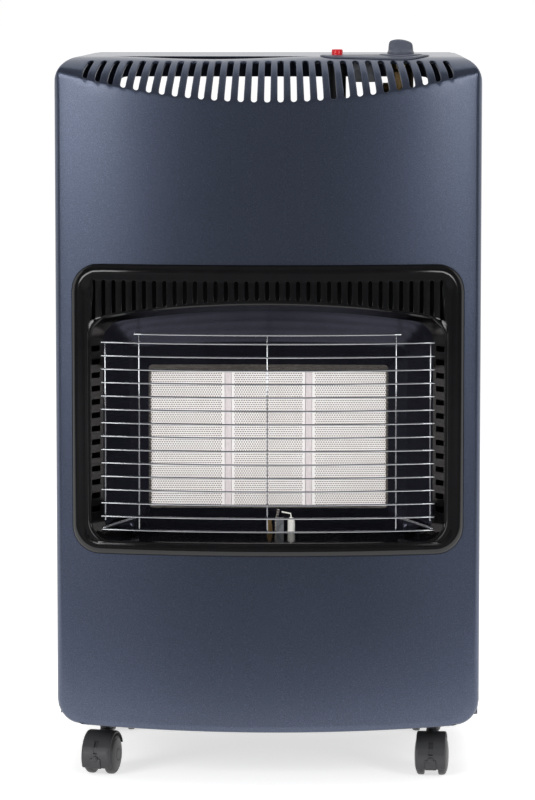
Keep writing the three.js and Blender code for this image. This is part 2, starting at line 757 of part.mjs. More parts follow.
// Enamelled surround: a dished, bowed land with a rolled rim, a funnel and its slots and vents.
function bezel() {
  const ring = (inset, proud) =>
    rectRing(
      BEZEL_WIDTH / 2 - inset,
      BEZEL_BOTTOM + inset,
      BEZEL_TOP - inset,
      BEZEL_R - inset,
      (x) => bowAt(x) - proud,
      4,
      12,
    );
  const rim = (t) => BEZEL_PROUD * Math.sqrt(1 - (1 - t) ** 2);
  const land = loft([
    ring(RIM_WIDTH, BEZEL_PROUD),
    ring(RIM_WIDTH * 0.45, rim(0.45)),
    ring(RIM_WIDTH * 0.1, rim(0.1)),
    ring(0, FIT),
    ring(SHEET, FIT),
    ring(RIM_WIDTH, BEZEL_PROUD - SHEET),
  ]);
  const funnel = loft(
    [
      openingRing(MOUTH, 0, (x) => bowAt(x) - BEZEL_PROUD + 0.1),
      openingRing(THROAT, 0, FUNNEL_BACK),
      openingRing(THROAT, SHEET, FUNNEL_BACK),
      openingRing(MOUTH, SHEET, (x) => bowAt(x) - BEZEL_PROUD + 0.1),
    ],
    true,
  );
  const pierced = cut(
    land,
    alongY(openingOutline(MOUTH, 0), FRONT_MOST - 1, 0),
    ...Array.from({ length: BEZEL_SLOT_COUNT }, (_, i) => bezelSlot(i)),
  );
  return cut(join(pierced, funnel), ...sideVents());
}

function bezelSlot(i) {
  const x = (i - (BEZEL_SLOT_COUNT - 1) / 2) * BEZEL_SLOT_PITCH;
  const drop = BEZEL_SLOT_ARCH_R - Math.sqrt(BEZEL_SLOT_ARCH_R ** 2 - x * x);
  const r = BEZEL_SLOT_WIDTH / 2;
  return block(x - r, x + r, FRONT_MOST - 1, 0, BEZEL_SLOT_BOTTOM - drop, BEZEL_SLOT_TOP);
}

function sideVents() {
  const vents = [];
  for (let k = 0; k < VENT_COUNT; k++) {
    const z = GUARD_TOP - GUARD_PITCH / 2 - k * GUARD_PITCH;
    for (const side of [-1, 1]) {
      const [near, far] = [side * (THROAT.half - 2), side * (MOUTH.half + 3)];
      vents.push(
        block(
          Math.min(near, far),
          Math.max(near, far),
          VENT_FRONT,
          VENT_REAR,
          z - VENT_HEIGHT / 2,
          z + VENT_HEIGHT / 2,
        ),
      );
    }
  }
  return vents;
}

// Polished funnel from the bezel's throat to the burner frame, cut out at the foot for the pilot.
function reflector() {
  const end = {
    half: BURNER_HALF + 2.2,
    bottom: BURNER_BOTTOM - 2.2,
    crown: FRAME_TOP - 1,
    arch: REFLECTOR_END_ARCH,
    top: 4,
    foot: 4,
  };
  const front = FUNNEL_BACK + FIT;
  const back = BURNER_FRAME_FRONT - FIT;
  const shell = loft(
    [
      openingRing(THROAT, 0, front),
      openingRing(REFLECTOR_KNEE, 0, KNEE_Y),
      openingRing(end, 0, back),
      openingRing(end, SHEET, back),
      openingRing(REFLECTOR_KNEE, SHEET, KNEE_Y),
      openingRing(THROAT, SHEET, front),
    ],
    true,
  );
  return cut(shell, block(-9, 36, front + 2, KNEE_Y - 1, THROAT.bottom - 5, REFLECTOR_KNEE.bottom + 3));
}

// Stainless frame that clamps the ceramic: a front lip with a deep top bar, and side walls.
function burnerFrame() {
  const rear = BOX_FRONT - 2 * FIT;
  const inside = FRAME_HALF - SHEET;
  return cut(
    alongY(roundRect(-FRAME_HALF, FRAME_HALF, FRAME_BOTTOM, FRAME_TOP, 5, 4), BURNER_FRAME_FRONT, rear),
    block(-inside, inside, BURNER_FRAME_FRONT + SHEET, rear + 1, FRAME_BOTTOM + SHEET, FRAME_TOP - SHEET),
    block(-BURNER_HALF, BURNER_HALF, BURNER_FRAME_FRONT - 1, rear, BURNER_BOTTOM, BURNER_TOP),
  );
}

function burnerFace() {
  const rear = BURNER_Y + PLAQUE_THICKNESS;
  const low = FRAME_BOTTOM + SHEET + FIT;
  const high = BURNER_TOP + PLAQUE_LAP;
  const visible = (2 * BURNER_HALF - 2 * GASKET_WIDTH) / 3;
  const joint = visible / 2 + GASKET_WIDTH / 2;
  const inner = visible / 2 - FIT / 2;
  const outer = joint + GASKET_WIDTH / 2 + FIT / 2;
  const plaque = (x0, x1) => block(x0, x1, BURNER_Y, rear, low, high);
  part("ceramic_plaque_left", plaque(-BURNER_HALF - PLAQUE_LAP, -outer), CERAMIC);
  part("ceramic_plaque_centre", plaque(-inner, inner), CERAMIC);
  part("ceramic_plaque_right", plaque(outer, BURNER_HALF + PLAQUE_LAP), CERAMIC);
  const seal = GASKET_WIDTH / 2 - FIT / 2;
  for (const [side, x] of [["left", -joint], ["right", joint]]) {
    part(`plaque_gasket_${side}`, block(x - seal, x + seal, BURNER_Y + 0.8, rear, low, high), FIBRE);
  }
}

// Gas chamber behind the ceramic, open to it through a flanged mouth.
function burnerBox() {
  const half = FRAME_HALF;
  const inner = half - SHEET;
  const mouth = half - BOX_FLANGE;
  const tubeHole = (x) => post(x, TUBE_Y, TUBE_R + FIT, FRAME_BOTTOM - 1, FRAME_BOTTOM + 3, 8);
  return cut(
    alongY(roundRect(-half, half, FRAME_BOTTOM, FRAME_TOP, 5, 4), BOX_FRONT, BOX_REAR),
    block(-inner, inner, BOX_FRONT + SHEET, BOX_REAR - SHEET, FRAME_BOTTOM + SHEET, FRAME_TOP - SHEET),
    block(-mouth, mouth, BOX_FRONT - 1, BOX_REAR - SHEET, FRAME_BOTTOM + BOX_FLANGE, FRAME_TOP - BOX_FLANGE),
    ...[-1, 0, 1].map((k) => tubeHole(k * TUBE_PITCH)),
  );
}

// Venturi that draws air in round its injector and feeds one plaque.
function mixingTube(x) {
  const top = FRAME_BOTTOM + 5;
  const seat = FRAME_BOTTOM - FIT;
  const mouth = FRAME_BOTTOM - TUBE_LENGTH;
  const outside = [
    [TUBE_BELL_R, mouth],
    [TUBE_R, mouth + 9],
    [TUBE_THROAT_R + TUBE_WALL, mouth + 20],
    [TUBE_R, seat - 18],
    [TUBE_R, seat - 1.5],
    [TUBE_R + 3, seat - 1.5],
    [TUBE_R + 3, seat],
    [TUBE_R, seat],
    [TUBE_R, top],
  ];
  const inside = [
    [TUBE_R - TUBE_WALL, top],
    [TUBE_R - TUBE_WALL, seat - 18],
    [TUBE_THROAT_R, mouth + 20],
    [TUBE_R - TUBE_WALL, mouth + 9],
    [TUBE_BELL_R - TUBE_WALL, mouth],
    [TUBE_BELL_R, mouth],
  ];
  return turned(x, TUBE_Y, [...outside, ...inside], 8);
}

// Angle across the heat shield that carries the three injectors.
function injectorRail() {
  const end = TUBE_PITCH + RAIL_OVERHANG;
  const front = TUBE_Y - RAIL_REACH;
  const rear = SHIELD_Y - FIT;
  const angle = alongX(
    [
      v2(front, RAIL_Z),
      v2(rear, RAIL_Z),
      v2(rear, RAIL_Z + RAIL_HEIGHT),
      v2(rear - SHEET, RAIL_Z + RAIL_HEIGHT),
      v2(rear - SHEET, RAIL_Z + SHEET),
      v2(front, RAIL_Z + SHEET),
    ],
    -end,
    end,
  );
  const injectors = [-1, 0, 1].flatMap((k) => [
    post(k * TUBE_PITCH, TUBE_Y, INJECTOR_R, RAIL_Z - NIPPLE_LENGTH, RAIL_Z + INJECTOR_HEIGHT, 6),
  ]);
  return join(angle, ...injectors);
}

// Screen between the burner and the cylinder, flanged to the sides of the wrapper.
function heatShield() {
  const half = SIDE_INSIDE - FIT;
  const plan = [
    v2(half, SHIELD_Y - SHIELD_FLANGE),
    v2(half, SHIELD_Y + SHEET),
    v2(-half, SHIELD_Y + SHEET),
    v2(-half, SHIELD_Y - SHIELD_FLANGE),
    v2(SHEET - half, SHIELD_Y - SHIELD_FLANGE),
    v2(SHEET - half, SHIELD_Y),
    v2(half - SHEET, SHIELD_Y),
    v2(half - SHEET, SHIELD_Y - SHIELD_FLANGE),
  ];
  return alongZ(plan, SHIELD_BOTTOM, SHIELD_TOP);
}

// ---- Guard ----

const guardY = (x) => bowAt(x) + GUARD_SET_BACK;

function guardWire(half, z, steps) {
  const points = Array.from({ length: steps + 1 }, (_, i) => {
    const x = half * ((2 * i) / steps - 1);
    return v3(x, guardY(x), z);
  });
  return rod(points, WIRE_R, 4);
}

function fireGuard() {
  const lowest = GUARD_TOP - (GUARD_WIRES - 1) * GUARD_PITCH;
  const wires = Array.from({ length: GUARD_WIRES }, (_, k) =>
    guardWire(GUARD_HALF, GUARD_TOP - k * GUARD_PITCH, 6),
  );
  wires.push(guardWire(GUARD_SHORT_HALF, GUARD_SHORT_Z, 6));
  const upright = (x, z0, z1) => {
    const y = guardY(x) + 1.6 * WIRE_R;
    return rod([v3(x, y, z0), v3(x, y, z1)], WIRE_R, 4);
  };
  const shortEnd = lowest + GUARD_PITCH - 5;
  for (const side of [-1, 1]) {
    wires.push(upright(side * GUARD_OUTER_X, shortEnd, GUARD_TOP + 1.5));
    wires.push(upright(side * GUARD_INNER_X, lowest - 1.5, GUARD_SHORT_Z + 1.5));
  }
  wires.push(upright(0, lowest - 1.5, GUARD_SHORT_Z + 1.5));
  part("fire_guard", join(...wires), CHROME);
  part("guard_stay_left", guardStay(-1, lowest), CHROME);
  part("guard_stay_right", guardStay(1, lowest), CHROME);
}

// Rod welded behind the guard's lower corner, back to the reflector.
function guardStay(side, lowest) {
  return rod(
    [
      v3(side * STAY_FRONT_HALF, guardY(STAY_FRONT_HALF) + WIRE_R + STAY_R, lowest + 1.2),
      v3(side * STAY_REAR_HALF, KNEE_Y - 0.1, lowest + 8),
    ],
    STAY_R,
    6,
  );
}

// ---- Pilot set ----

const PILOT_X = 1.5;
const ELECTRODE_X = 23;
const PILOT_Y = 12;
const PILOT_FRONT = 8;
const PILOT_FLOOR = THROAT.bottom - SHEET - 0.1; // bracket's top face, under the reflector's foot

function pilotSet() {
  const under = PILOT_FLOOR - SHEET;
  const seat = PILOT_FLOOR + FIT;
  const up = (rise) => PILOT_FLOOR + rise;
  const bracket = cut(
    join(
      block(-14, 41, PILOT_FRONT, PILOT_FRONT + 12, under, PILOT_FLOOR),
      block(8, 15.5, PILOT_FRONT, PILOT_FRONT + SHEET, under, up(16.8)),
    ),
    post(PILOT_X, PILOT_Y, PILOT_PIPE_R + FIT, under - 1, up(1), 8),
  );
  part("pilot_bracket", bracket, GALVANISED);
  const tip = [[0, seat], [3, seat], [3, up(8.3)], [2.2, up(10.3)], [2.2, up(14.3)], [0, up(14.3)]];
  part("pilot_burner", turned(PILOT_X, PILOT_Y, tip, 6), BRASS);
  const probe = [v3(8, PILOT_Y + 2, seat), v3(8, PILOT_Y + 2, up(12.3)), v3(10, PILOT_Y + 1, up(24.3))];
  part("thermocouple", rod(probe, 1.6, 8), STAINLESS);
  const bush = [[0, seat], [3.6, seat], [3.6, up(12.8)], [2, up(16.3)], [0, up(16.3)]];
  const insulator = turned(ELECTRODE_X, PILOT_Y, bush, 12);
  const wire = rod(
    [
      v3(ELECTRODE_X, PILOT_Y, up(15.3)),
      v3(ELECTRODE_X - 0.6, PILOT_Y, up(20.3)),
      v3(ELECTRODE_X - 9.5, PILOT_Y + 1, up(21.8)),
    ],
    0.8,
    6,
  );
  part("ignition_electrode", join(insulator, wire), PORCELAIN);
}

// ---- Controls ----

// Outline of the control plate: a large and a small circle joined by their outer tangents.
function plateOutline(inset) {
  const dx = BUTTON_X - KNOB_X;
  const dy = BUTTON_Y - KNOB_Y;
  const along = Math.atan2(dy, dx);
  const spread = Math.acos((PLATE_R - PLATE_SMALL_R) / Math.hypot(dx, dy));
  return [
    ...arc(KNOB_X, KNOB_Y, PLATE_R - inset, along + spread - 2 * Math.PI, along - spread, 12),
    ...arc(BUTTON_X, BUTTON_Y, PLATE_SMALL_R - inset, along - spread, along + spread, 6),
  ];
}

// The cabinet's top and shoulder, raised by gap, as a tool that trims what sits on it.
function shoulderTool(gap) {
  const r = ROLL_R + gap;
  const outline = [
    v2(BODY_DEPTH, ROLL_Z),
    v2(BODY_DEPTH, HEIGHT + gap),
    ...arc(ROLL_Y, ROLL_Z, r, Math.PI / 2, Math.PI / 2 + BEVEL_ANGLE, 12),
    v2(BEVEL_START_Y - ROLL_R, ROLL_Z),
  ];
  return alongX([...outline].reverse(), 0, HALF);
}

function controlPlate() {
  const top = HEIGHT + FIT + PLATE_WALL;
  const body = alongZ(plateOutline(0), BRACKET_Z, top);
  const ring = post(KNOB_X, KNOB_Y, PLATE_RING_R, top - 1, top + 0.7, 20);
  return cut(
    join(body, ring),
    shoulderTool(FIT),
    post(KNOB_X, KNOB_Y, KNOB_R + 1, BRACKET_Z, top + 5, 20),
    post(BUTTON_X, BUTTON_Y, BUTTON_R + 0.6, BRACKET_Z, top + 5, 16),
  );
}

// The outline, turned anticlockwise if need be.
function orient(outline) {
  return THREE.ShapeUtils.isClockWise(outline) ? [...outline].reverse() : outline;
}

// A round knob pared down to a finger bar, its top sloping to one side.
function controlKnob() {
  const rise = KNOB_TOP - KNOB_BASE;
  const body = turned(
    KNOB_X,
    KNOB_Y,
    [
      [0, KNOB_BASE],
      [KNOB_R, KNOB_BASE],
      [KNOB_R, KNOB_BASE + 3],
      [KNOB_R * 0.95, KNOB_BASE + rise * 0.72],
      [KNOB_R * 0.82, KNOB_BASE + rise * 0.93],
      [KNOB_R * 0.6, KNOB_TOP],
      [0, KNOB_TOP],
    ],
    18,
  );
  const slope = block(-40, 40, -20, 20, 0, 20)
    .rotateY(KNOB_SLOPE)
    .translate(KNOB_X, KNOB_Y, KNOB_TOP - 1);
  const scoops = [-1, 1].map((side) =>
    new THREE.CylinderGeometry(12, 12, 60, 16)
      .rotateZ(Math.PI / 2)
      .translate(KNOB_X, KNOB_Y + side * (KNOB_BAR / 2 + 12), KNOB_TOP + 1),
  );
  return cut(body, slope, ...scoops, post(KNOB_X, KNOB_Y, 3.2, KNOB_BASE - 1, KNOB_BASE + 8, 12));
}

function valveBracket() {
  const top = BRACKET_Z + BRACKET_SHEET;
  const middle = (KNOB_X + BUTTON_X) / 2 + 6;
  const [left, right] = [middle - BRACKET_HALF, middle + BRACKET_HALF];
  return cut(
    join(
      block(left, right, BRACKET_FRONT, BRACKET_REAR, BRACKET_Z, top),
      block(left, right, BRACKET_REAR - BRACKET_SHEET, BRACKET_REAR, BRACKET_Z, TOP_INSIDE - FIT),
      block(
        middle - BRACKET_TAB_LEFT,
        middle - BRACKET_TAB_LEFT + BRACKET_TAB_WIDTH,
        BRACKET_FRONT,
        BRACKET_FRONT + BRACKET_SHEET,
        BRACKET_Z - BRACKET_TAB_DROP,
        top,
      ),
    ),
    post(KNOB_X, KNOB_Y, VALVE_NECK_R + FIT, BRACKET_Z - 1, top + 1),
    post(BUTTON_X, BUTTON_Y, IGNITER_R + FIT, BRACKET_Z - 1, top + 1),
  );
}

function gasValve() {
  const seat = BRACKET_Z - FIT;
  const body = turned(
    KNOB_X,
    KNOB_Y,
    [
      [0, VALVE_BOTTOM],
      [VALVE_R - 3, VALVE_BOTTOM],
      [VALVE_R, VALVE_BOTTOM + 4],
      [VALVE_R, seat - 8],
      [VALVE_R - 2, seat - 5],
      [VALVE_R - 2, seat],
      [VALVE_NECK_R, seat],
      [VALVE_NECK_R, seat + 4.5],
      [0, seat + 4.5],
    ],
    14,
  );
  const inlet = new THREE.CylinderGeometry(7, 7, 18, 10).translate(KNOB_X, KNOB_Y + 9, VALVE_INLET_Z);
  const sideBoss = new THREE.CylinderGeometry(6, 6, 17, 8)
    .rotateZ(Math.PI / 2)
    .translate(KNOB_X - 9, KNOB_Y, VALVE_INLET_Z + 2);
  const outlets = [-1, 0, 1].map((k) =>
    post(KNOB_X + k * OUTLET_PITCH, TUBE_Y, 3.4, VALVE_BOTTOM - 4, VALVE_BOTTOM + 6, 6),
  );
  const pilotOutlet = post(KNOB_X, KNOB_Y - 8, 2.6, VALVE_BOTTOM - 4, VALVE_BOTTOM + 6, 6);
  const bore = post(KNOB_X, KNOB_Y, 5, seat - 17, seat + 6, 10);
  return cut(join(body, inlet, sideBoss, ...outlets, pilotOutlet), bore);
}

function hoseNozzle() {
  const start = KNOB_Y + 18 + FIT;
  const profile = [
    [0, 0],
    [7, 0],
    [7, 7],
    [4.5, 9],
    [5.4, 12],
    [4.5, 16],
    [5.4, 19],
    [4.5, 23],
    [5.2, 26],
    [3.6, 30],
    [0, 30],
  ];
  const geometry = new THREE.LatheGeometry(
    profile.map(([r, y]) => v2(r, y)),
    8,
  );
  return geometry.translate(KNOB_X, start, VALVE_INLET_Z);
}

function controls() {
  part("control_plate", controlPlate(), CONTROL);
  part("control_knob", controlKnob(), CONTROL);
  part("valve_bracket", valveBracket(), PAINT);
  part("gas_valve", gasValve(), BRASS);
  part("hose_nozzle", hoseNozzle(), BRASS);
  const seat = BRACKET_Z - FIT;
  const plungerBottom = seat - PLUNGER_DEPTH;
  const plunger = cut(
    post(KNOB_X, KNOB_Y, 4.6, plungerBottom, KNOB_BASE - FIT, 14),
    post(KNOB_X, KNOB_Y, 3.2, plungerBottom + 2, KNOB_BASE, 12),
  );
  part("valve_plunger", plunger, BRASS);
  part("valve_spindle", post(KNOB_X, KNOB_Y, 2.9, plungerBottom + 2 + FIT, KNOB_BASE + 8 - FIT, 12), STEEL);
  const igniter = cut(
    turned(
      BUTTON_X,
      BUTTON_Y,
      [
        [0, BRACKET_Z - IGNITER_DEPTH],
        [IGNITER_R - 0.5, BRACKET_Z - IGNITER_DEPTH],
        [IGNITER_R + 1.5, BRACKET_Z - IGNITER_DEPTH + 4],
        [IGNITER_R + 1.5, seat],
        [IGNITER_R, seat],
        [IGNITER_R, HEIGHT - 1],
        [0, HEIGHT - 1],
      ],
      14,
    ),
    post(BUTTON_X, BUTTON_Y, BUTTON_R + 0.4, BUTTON_TOP - BUTTON_LENGTH - 6, HEIGHT, 14),
  );
  part("piezo_igniter", igniter, PLASTIC);
  const nutSeat = BRACKET_Z + BRACKET_SHEET + FIT;
  const nut = cut(
    post(BUTTON_X, BUTTON_Y, 10.5, nutSeat, nutSeat + 2.4, 6),
    post(BUTTON_X, BUTTON_Y, IGNITER_R + FIT, nutSeat - 1, nutSeat + 4, 14),
  );
  part("piezo_nut", nut, PLASTIC);
  const button = turned(
    BUTTON_X,
    BUTTON_Y,
    [
      [0, BUTTON_TOP - BUTTON_LENGTH],
      [BUTTON_R, BUTTON_TOP - BUTTON_LENGTH],
      [BUTTON_R, BUTTON_TOP - 0.8],
      [BUTTON_R - 0.8, BUTTON_TOP],
      [0, BUTTON_TOP],
    ],
    16,
  );
  part("piezo_button", button, RED);
}

// ---- Gas pipes ----

function pipes() {
  const start = VALVE_BOTTOM - 4 - FIT;
  const end = RAIL_Z - NIPPLE_LENGTH - FIT;
  ["right", "centre", "left"].forEach((name, k) => {
    const outletX = KNOB_X + (k - 1) * OUTLET_PITCH;
    const leg = PIPE_LEG_X + k * PIPE_SPACING;
    const high = start - 12 - (2 - k) * PIPE_SPACING;
    const low = end - 8 - k * PIPE_SPACING;
    const injectorX = (1 - k) * TUBE_PITCH;
    const corners = [
      v3(outletX, TUBE_Y, start),
      v3(outletX, TUBE_Y, high),
      v3(leg, TUBE_Y, high),
      v3(leg, TUBE_Y, low),
      v3(injectorX, TUBE_Y, low),
      v3(injectorX, TUBE_Y, end),
    ];
    part(`gas_pipe_${name}`, rod(rounded(corners, 6, 2), PIPE_R, 5), ALUMINIUM);
  });
  const y = KNOB_Y - 8;
  const leg = PIPE_LEG_X - PIPE_SPACING;
  const low = FRAME_BOTTOM - TUBE_LENGTH / 2;
  const corners = [
    v3(KNOB_X, y, start),
    v3(KNOB_X, y, start - 7),
    v3(leg, y, start - 7),
    v3(leg, y, low),
    v3(PILOT_X, y, low),
    v3(PILOT_X, PILOT_Y, low),
    v3(PILOT_X, PILOT_Y, PILOT_FLOOR),
  ];
  part("pilot_pipe", rod(rounded(corners, 5, 2), PILOT_PIPE_R, 5), ALUMINIUM);
}

// ---- Castors ----

// Stem with its fixing plate, fast to the base; everything is drawn about the swivel axis.
function castorStem() {
  const plateTop = TRAY_Z - FIT;
  const plateBottom = plateTop - CASTOR_PLATE_THICKNESS;
  const h = CASTOR_PLATE / 2;
  return join(
    alongZ(roundRect(-h, h, -h, h, 4, 1), plateBottom, plateTop),
    post(0, 0, WEB_HALF, HOOD_TOP + FIT, plateBottom + 1, 10),
    post(0, 0, STEM_R, STEM_TIP_Z + FIT, HOOD_TOP + 1, 8),
  );
}

// Hood over both wheels with the web that holds the stem and the axle.
function castorHood() {
  const axleY = -CASTOR_TRAIL;
  const frontEnd = Math.PI + 0.5;
  const rearEnd = 0.42;
  const fender = [
    ...arc(axleY, WHEEL_R, HOOD_R, rearEnd, frontEnd, 9),
    ...arc(axleY, WHEEL_R, HOOD_INNER_R, frontEnd, rearEnd, 9),
  ];
  const web = [
    ...arc(axleY, WHEEL_R, HOOD_INNER_R + 1.2, Math.PI / 2, frontEnd, 6),
    v2(axleY - 6, STEM_TIP_Z - 6),
    v2(axleY + 6, STEM_TIP_Z - 6),
    v2(STEM_R + 3, STEM_TIP_Z - 3),
    v2(STEM_R + 3, HOOD_TOP - 4),
    v2(STEM_R + 1, HOOD_TOP),
    v2(axleY, HOOD_TOP),
  ];
  return cut(
    join(alongX(fender, -HOOD_HALF, HOOD_HALF), alongX(orient(web), -WEB_HALF, WEB_HALF)),
    post(0, 0, STEM_R + BORE_CLEARANCE, STEM_TIP_Z, HOOD_TOP + 1, 8),
    acrossX(AXLE_R + BORE_CLEARANCE, -HOOD_HALF, HOOD_HALF, 8).translate(0, axleY, WHEEL_R),
  );
}

const acrossX = (r, x0, x1, sides) =>
  new THREE.CylinderGeometry(r, r, x1 - x0, sides).rotateZ(Math.PI / 2).translate((x0 + x1) / 2, 0, 0);

// A wheel with a chamfered outer edge, turned about the axle and set down on one of its flats.
function castorWheel(side) {
  const bore = AXLE_R + BORE_CLEARANCE;
  const flats = 16;
  const rim = WHEEL_R / Math.cos(Math.PI / flats);
  const profile = [
    [bore, WHEEL_INNER],
    [rim, WHEEL_INNER],
    [rim, WHEEL_OUTER - 3],
    [rim - 3, WHEEL_OUTER],
    [bore, WHEEL_OUTER],
    [bore, WHEEL_INNER],
  ];
  const wheel = new THREE.LatheGeometry(
    profile.map(([r, y]) => v2(r, y)),
    flats,
  );
  return wheel.rotateY(Math.PI / flats).rotateZ((-side * Math.PI) / 2);
}

function castor(name, x, y, swivelDegrees) {
  const assembly = new THREE.Group();
  assembly.position.set(x, y, 0);
  assembly.rotation.z = THREE.MathUtils.degToRad(swivelDegrees);
  cabinet.add(assembly);
  const stem = part(`castor_stem_${name}`, castorStem(), STEEL);
  stem.position.set(x, y, 0);
  part(`castor_hood_${name}`, castorHood(), PLASTIC, assembly);
  const axle = acrossX(AXLE_R, 0.8 - WHEEL_OUTER, WHEEL_OUTER - 0.8, 10).translate(0, -CASTOR_TRAIL, WHEEL_R);
  part(`castor_axle_${name}`, axle, STEEL, assembly);
  for (const [sideName, side] of [["l", -1], ["r", 1]]) {
    const wheel = castorWheel(side).translate(0, -CASTOR_TRAIL, WHEEL_R);
    part(`castor_wheel_${name}_${sideName}`, wheel, PLASTIC, assembly);
  }
}

// ---- Assembly ----

part("front_panel", frontPanel(), PAINT);
part("body_wrapper", bodyWrapper(), PAINT);
part("rear_frame", rearFrame(), PAINT);
part("rear_cover", rearCover(), PAINT);
part("base_tray", baseTray(), PAINT);
part("bezel", bezel(), ENAMEL);
part("reflector", reflector(), POLISHED);
fireGuard();
part("burner_frame", burnerFrame(), STAINLESS);
burnerFace();
part("burner_box", burnerBox(), GALVANISED);
["left", "centre", "right"].forEach((name, k) => {
  part(`mixing_tube_${name}`, mixingTube((k - 1) * TUBE_PITCH), ALUMINIUM);
});
part("injector_rail", injectorRail(), GALVANISED);
part("heat_shield", heatShield(), GALVANISED);
pilotSet();
controls();
pipes();
castor("front_left", -CASTOR_X, CASTOR_FRONT_Y, CASTOR_SWIVEL.front_left);
castor("front_right", CASTOR_X, CASTOR_FRONT_Y, CASTOR_SWIVEL.front_right);
castor("rear_left", -CASTOR_X, CASTOR_REAR_Y, CASTOR_SWIVEL.rear_left);
castor("rear_right", CASTOR_X, CASTOR_REAR_Y, CASTOR_SWIVEL.rear_right);

export default root;
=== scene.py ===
import math

import bmesh
import bpy
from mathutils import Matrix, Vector


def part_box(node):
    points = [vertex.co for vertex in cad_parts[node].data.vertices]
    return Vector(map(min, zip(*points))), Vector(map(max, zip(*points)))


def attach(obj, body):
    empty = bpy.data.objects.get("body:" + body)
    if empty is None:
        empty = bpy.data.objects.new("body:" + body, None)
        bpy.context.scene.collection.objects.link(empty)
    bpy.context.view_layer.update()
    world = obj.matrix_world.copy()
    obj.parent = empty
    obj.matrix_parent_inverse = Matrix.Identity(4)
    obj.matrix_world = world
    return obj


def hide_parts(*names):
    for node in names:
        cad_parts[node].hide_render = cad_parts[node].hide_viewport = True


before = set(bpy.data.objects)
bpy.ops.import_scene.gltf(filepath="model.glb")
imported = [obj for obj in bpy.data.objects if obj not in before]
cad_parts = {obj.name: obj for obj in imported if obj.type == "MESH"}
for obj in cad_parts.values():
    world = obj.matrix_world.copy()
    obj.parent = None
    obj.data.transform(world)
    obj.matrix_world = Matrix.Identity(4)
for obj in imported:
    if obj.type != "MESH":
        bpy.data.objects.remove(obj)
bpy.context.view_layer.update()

# Lengths are in millimetres in the heater's own frame: X across, Y towards the back from where
# the bow ends at the sides, Z up from the floor. place() turns them into metres in the frame of
# the CAD model.

SHIFT = -167.1

WIDTH = 420
HALF = WIDTH / 2
HEIGHT = 722
CORNER_R = 25
SEAM_Y = 48
PANEL_SHEET = 1.5
PANEL_BOTTOM = 59.5
PANEL_DIP = 3
HEM_DEPTH = 16
BOW_HALF = 204
BOW_DEPTH = 31.5
BOW_R = (BOW_HALF**2 + BOW_DEPTH**2) / (2 * BOW_DEPTH)
BOW_CENTRE_Y = BOW_R - BOW_DEPTH
EDGE_R = 6
ROLL_R = 64
ROLL_Y = 37.5
ROLL_Z = HEIGHT - ROLL_R
BEVEL = math.radians(43)
BEVEL_START_Y = ROLL_Y - ROLL_R * math.sin(BEVEL)
BEVEL_START_Z = ROLL_Z + ROLL_R * math.cos(BEVEL)
CREASE_BLEND = 6
FOOT_R = 4
APERTURE_HALF = 184
APERTURE_BOTTOM = 241.9
APERTURE_TOP = 510.5
SLACK_FROM = -165
SLACK_TO = 55
SLACK_DEPTH = 3.4

SLOT_COUNT = 29
SLOT_PITCH = 13
SLOT_R = 2.95
SLOT_LIP = 1.2
SLOT_LIP_DEPTH = 1.8
SLOT_TOP_Y = 15
SLOT_BELOW_CREASE = 2.5

BEZEL_HALF = 193.5
BEZEL_BOTTOM = 232.4
BEZEL_TOP = 520
BEZEL_R = 27
BEZEL_PROUD = 5.6
RIM_X = BEZEL_HALF - BEZEL_R
RIM_Z = BEZEL_TOP - BEZEL_R
RIM_WIDTH = 8
LIP_R = 2.6
BEZEL_SHEET = 1.2
BEZEL_SLOT_COUNT = 35
BEZEL_SLOT_PITCH = 10.07
BEZEL_SLOT_R = 1.9
BEZEL_SLOT_LIP = 0.55
BEZEL_SLOT_TOP = 505
BEZEL_SLOT_BOTTOM = 485.3
BEZEL_SLOT_ARCH_R = 727
VENT_COUNT = 13
VENT_HEIGHT = 5.6
VENT_FRONT = -11
VENT_REAR = 0
FUNNEL_BACK = 4
MOUTH = {"half": 174, "bottom": 246.5, "crown": 481, "arch": 1000, "top": 24, "foot": 20}
THROAT = {"half": 163, "bottom": 251, "crown": 473, "arch": 1000, "top": 20, "foot": 16}
KNEE = {"half": 137, "bottom": 252, "crown": 440, "arch": 2500, "top": 12, "foot": 8}
KNEE_Y = 18
REFLECTOR_SHEET = 1.2

BURNER_HALF = 116.8
BURNER_BOTTOM = 276.2
FRAME_TOP = 418.5

WIRE_R = 1.05
WIRE_FINE = 0.88
UPRIGHT_R = 0.66
GUARD_WIRES = 15
GUARD_PITCH = 13.26
GUARD_TOP = 442.5
GUARD_HALF = 165
GUARD_SHORT_HALF = 132
GUARD_SHORT_Z = 451.2
GUARD_OUTER_X = 160.2
GUARD_INNER_X = 126.4
GUARD_SET_BACK = 0.4
STAY_R = 2.0

KNOB_X = 130.5
KNOB_Y = 46
KNOB_R = 13.35
KNOB_FOOT = 723.4
PLATE_R = 28.5
PLATE_SMALL_R = 17
BUTTON_X = 67.7
BUTTON_Y = 40
BUTTON_R = 5.5
BUTTON_TOP = 729
BUTTON_LENGTH = 19

CASTORS = {
    "front_left": (-165, 62, -15),
    "front_right": (165, 62, -4),
    "rear_left": (-165, 300, 10),
    "rear_right": (165, 300, -8),
}
CASTOR_TRAIL = 12
WHEEL_R = 20
HOOD_R = 24
HOOD_INNER_R = 21.8
HOOD_HALF = 15
HOOD_START = 0.42
HOOD_END = math.pi + 0.5
WEB_HALF = 6.3

PLAQUES = ("left", "centre", "right")

LENS = 177.1
CAMERA_SPOT = (0.08168, -4.03235, 0.78018)
CAMERA_TILT = 84.156
CAMERA_TURN = 1.216
WHITE = (1, 1, 1)


def place(p):
    return Vector((p[0] / 1000, (p[1] + SHIFT) / 1000, p[2] / 1000))


def smooth_step(t):
    t = min(max(t, 0.0), 1.0)
    return t * t * (3 - 2 * t)


# ---- Materials ----


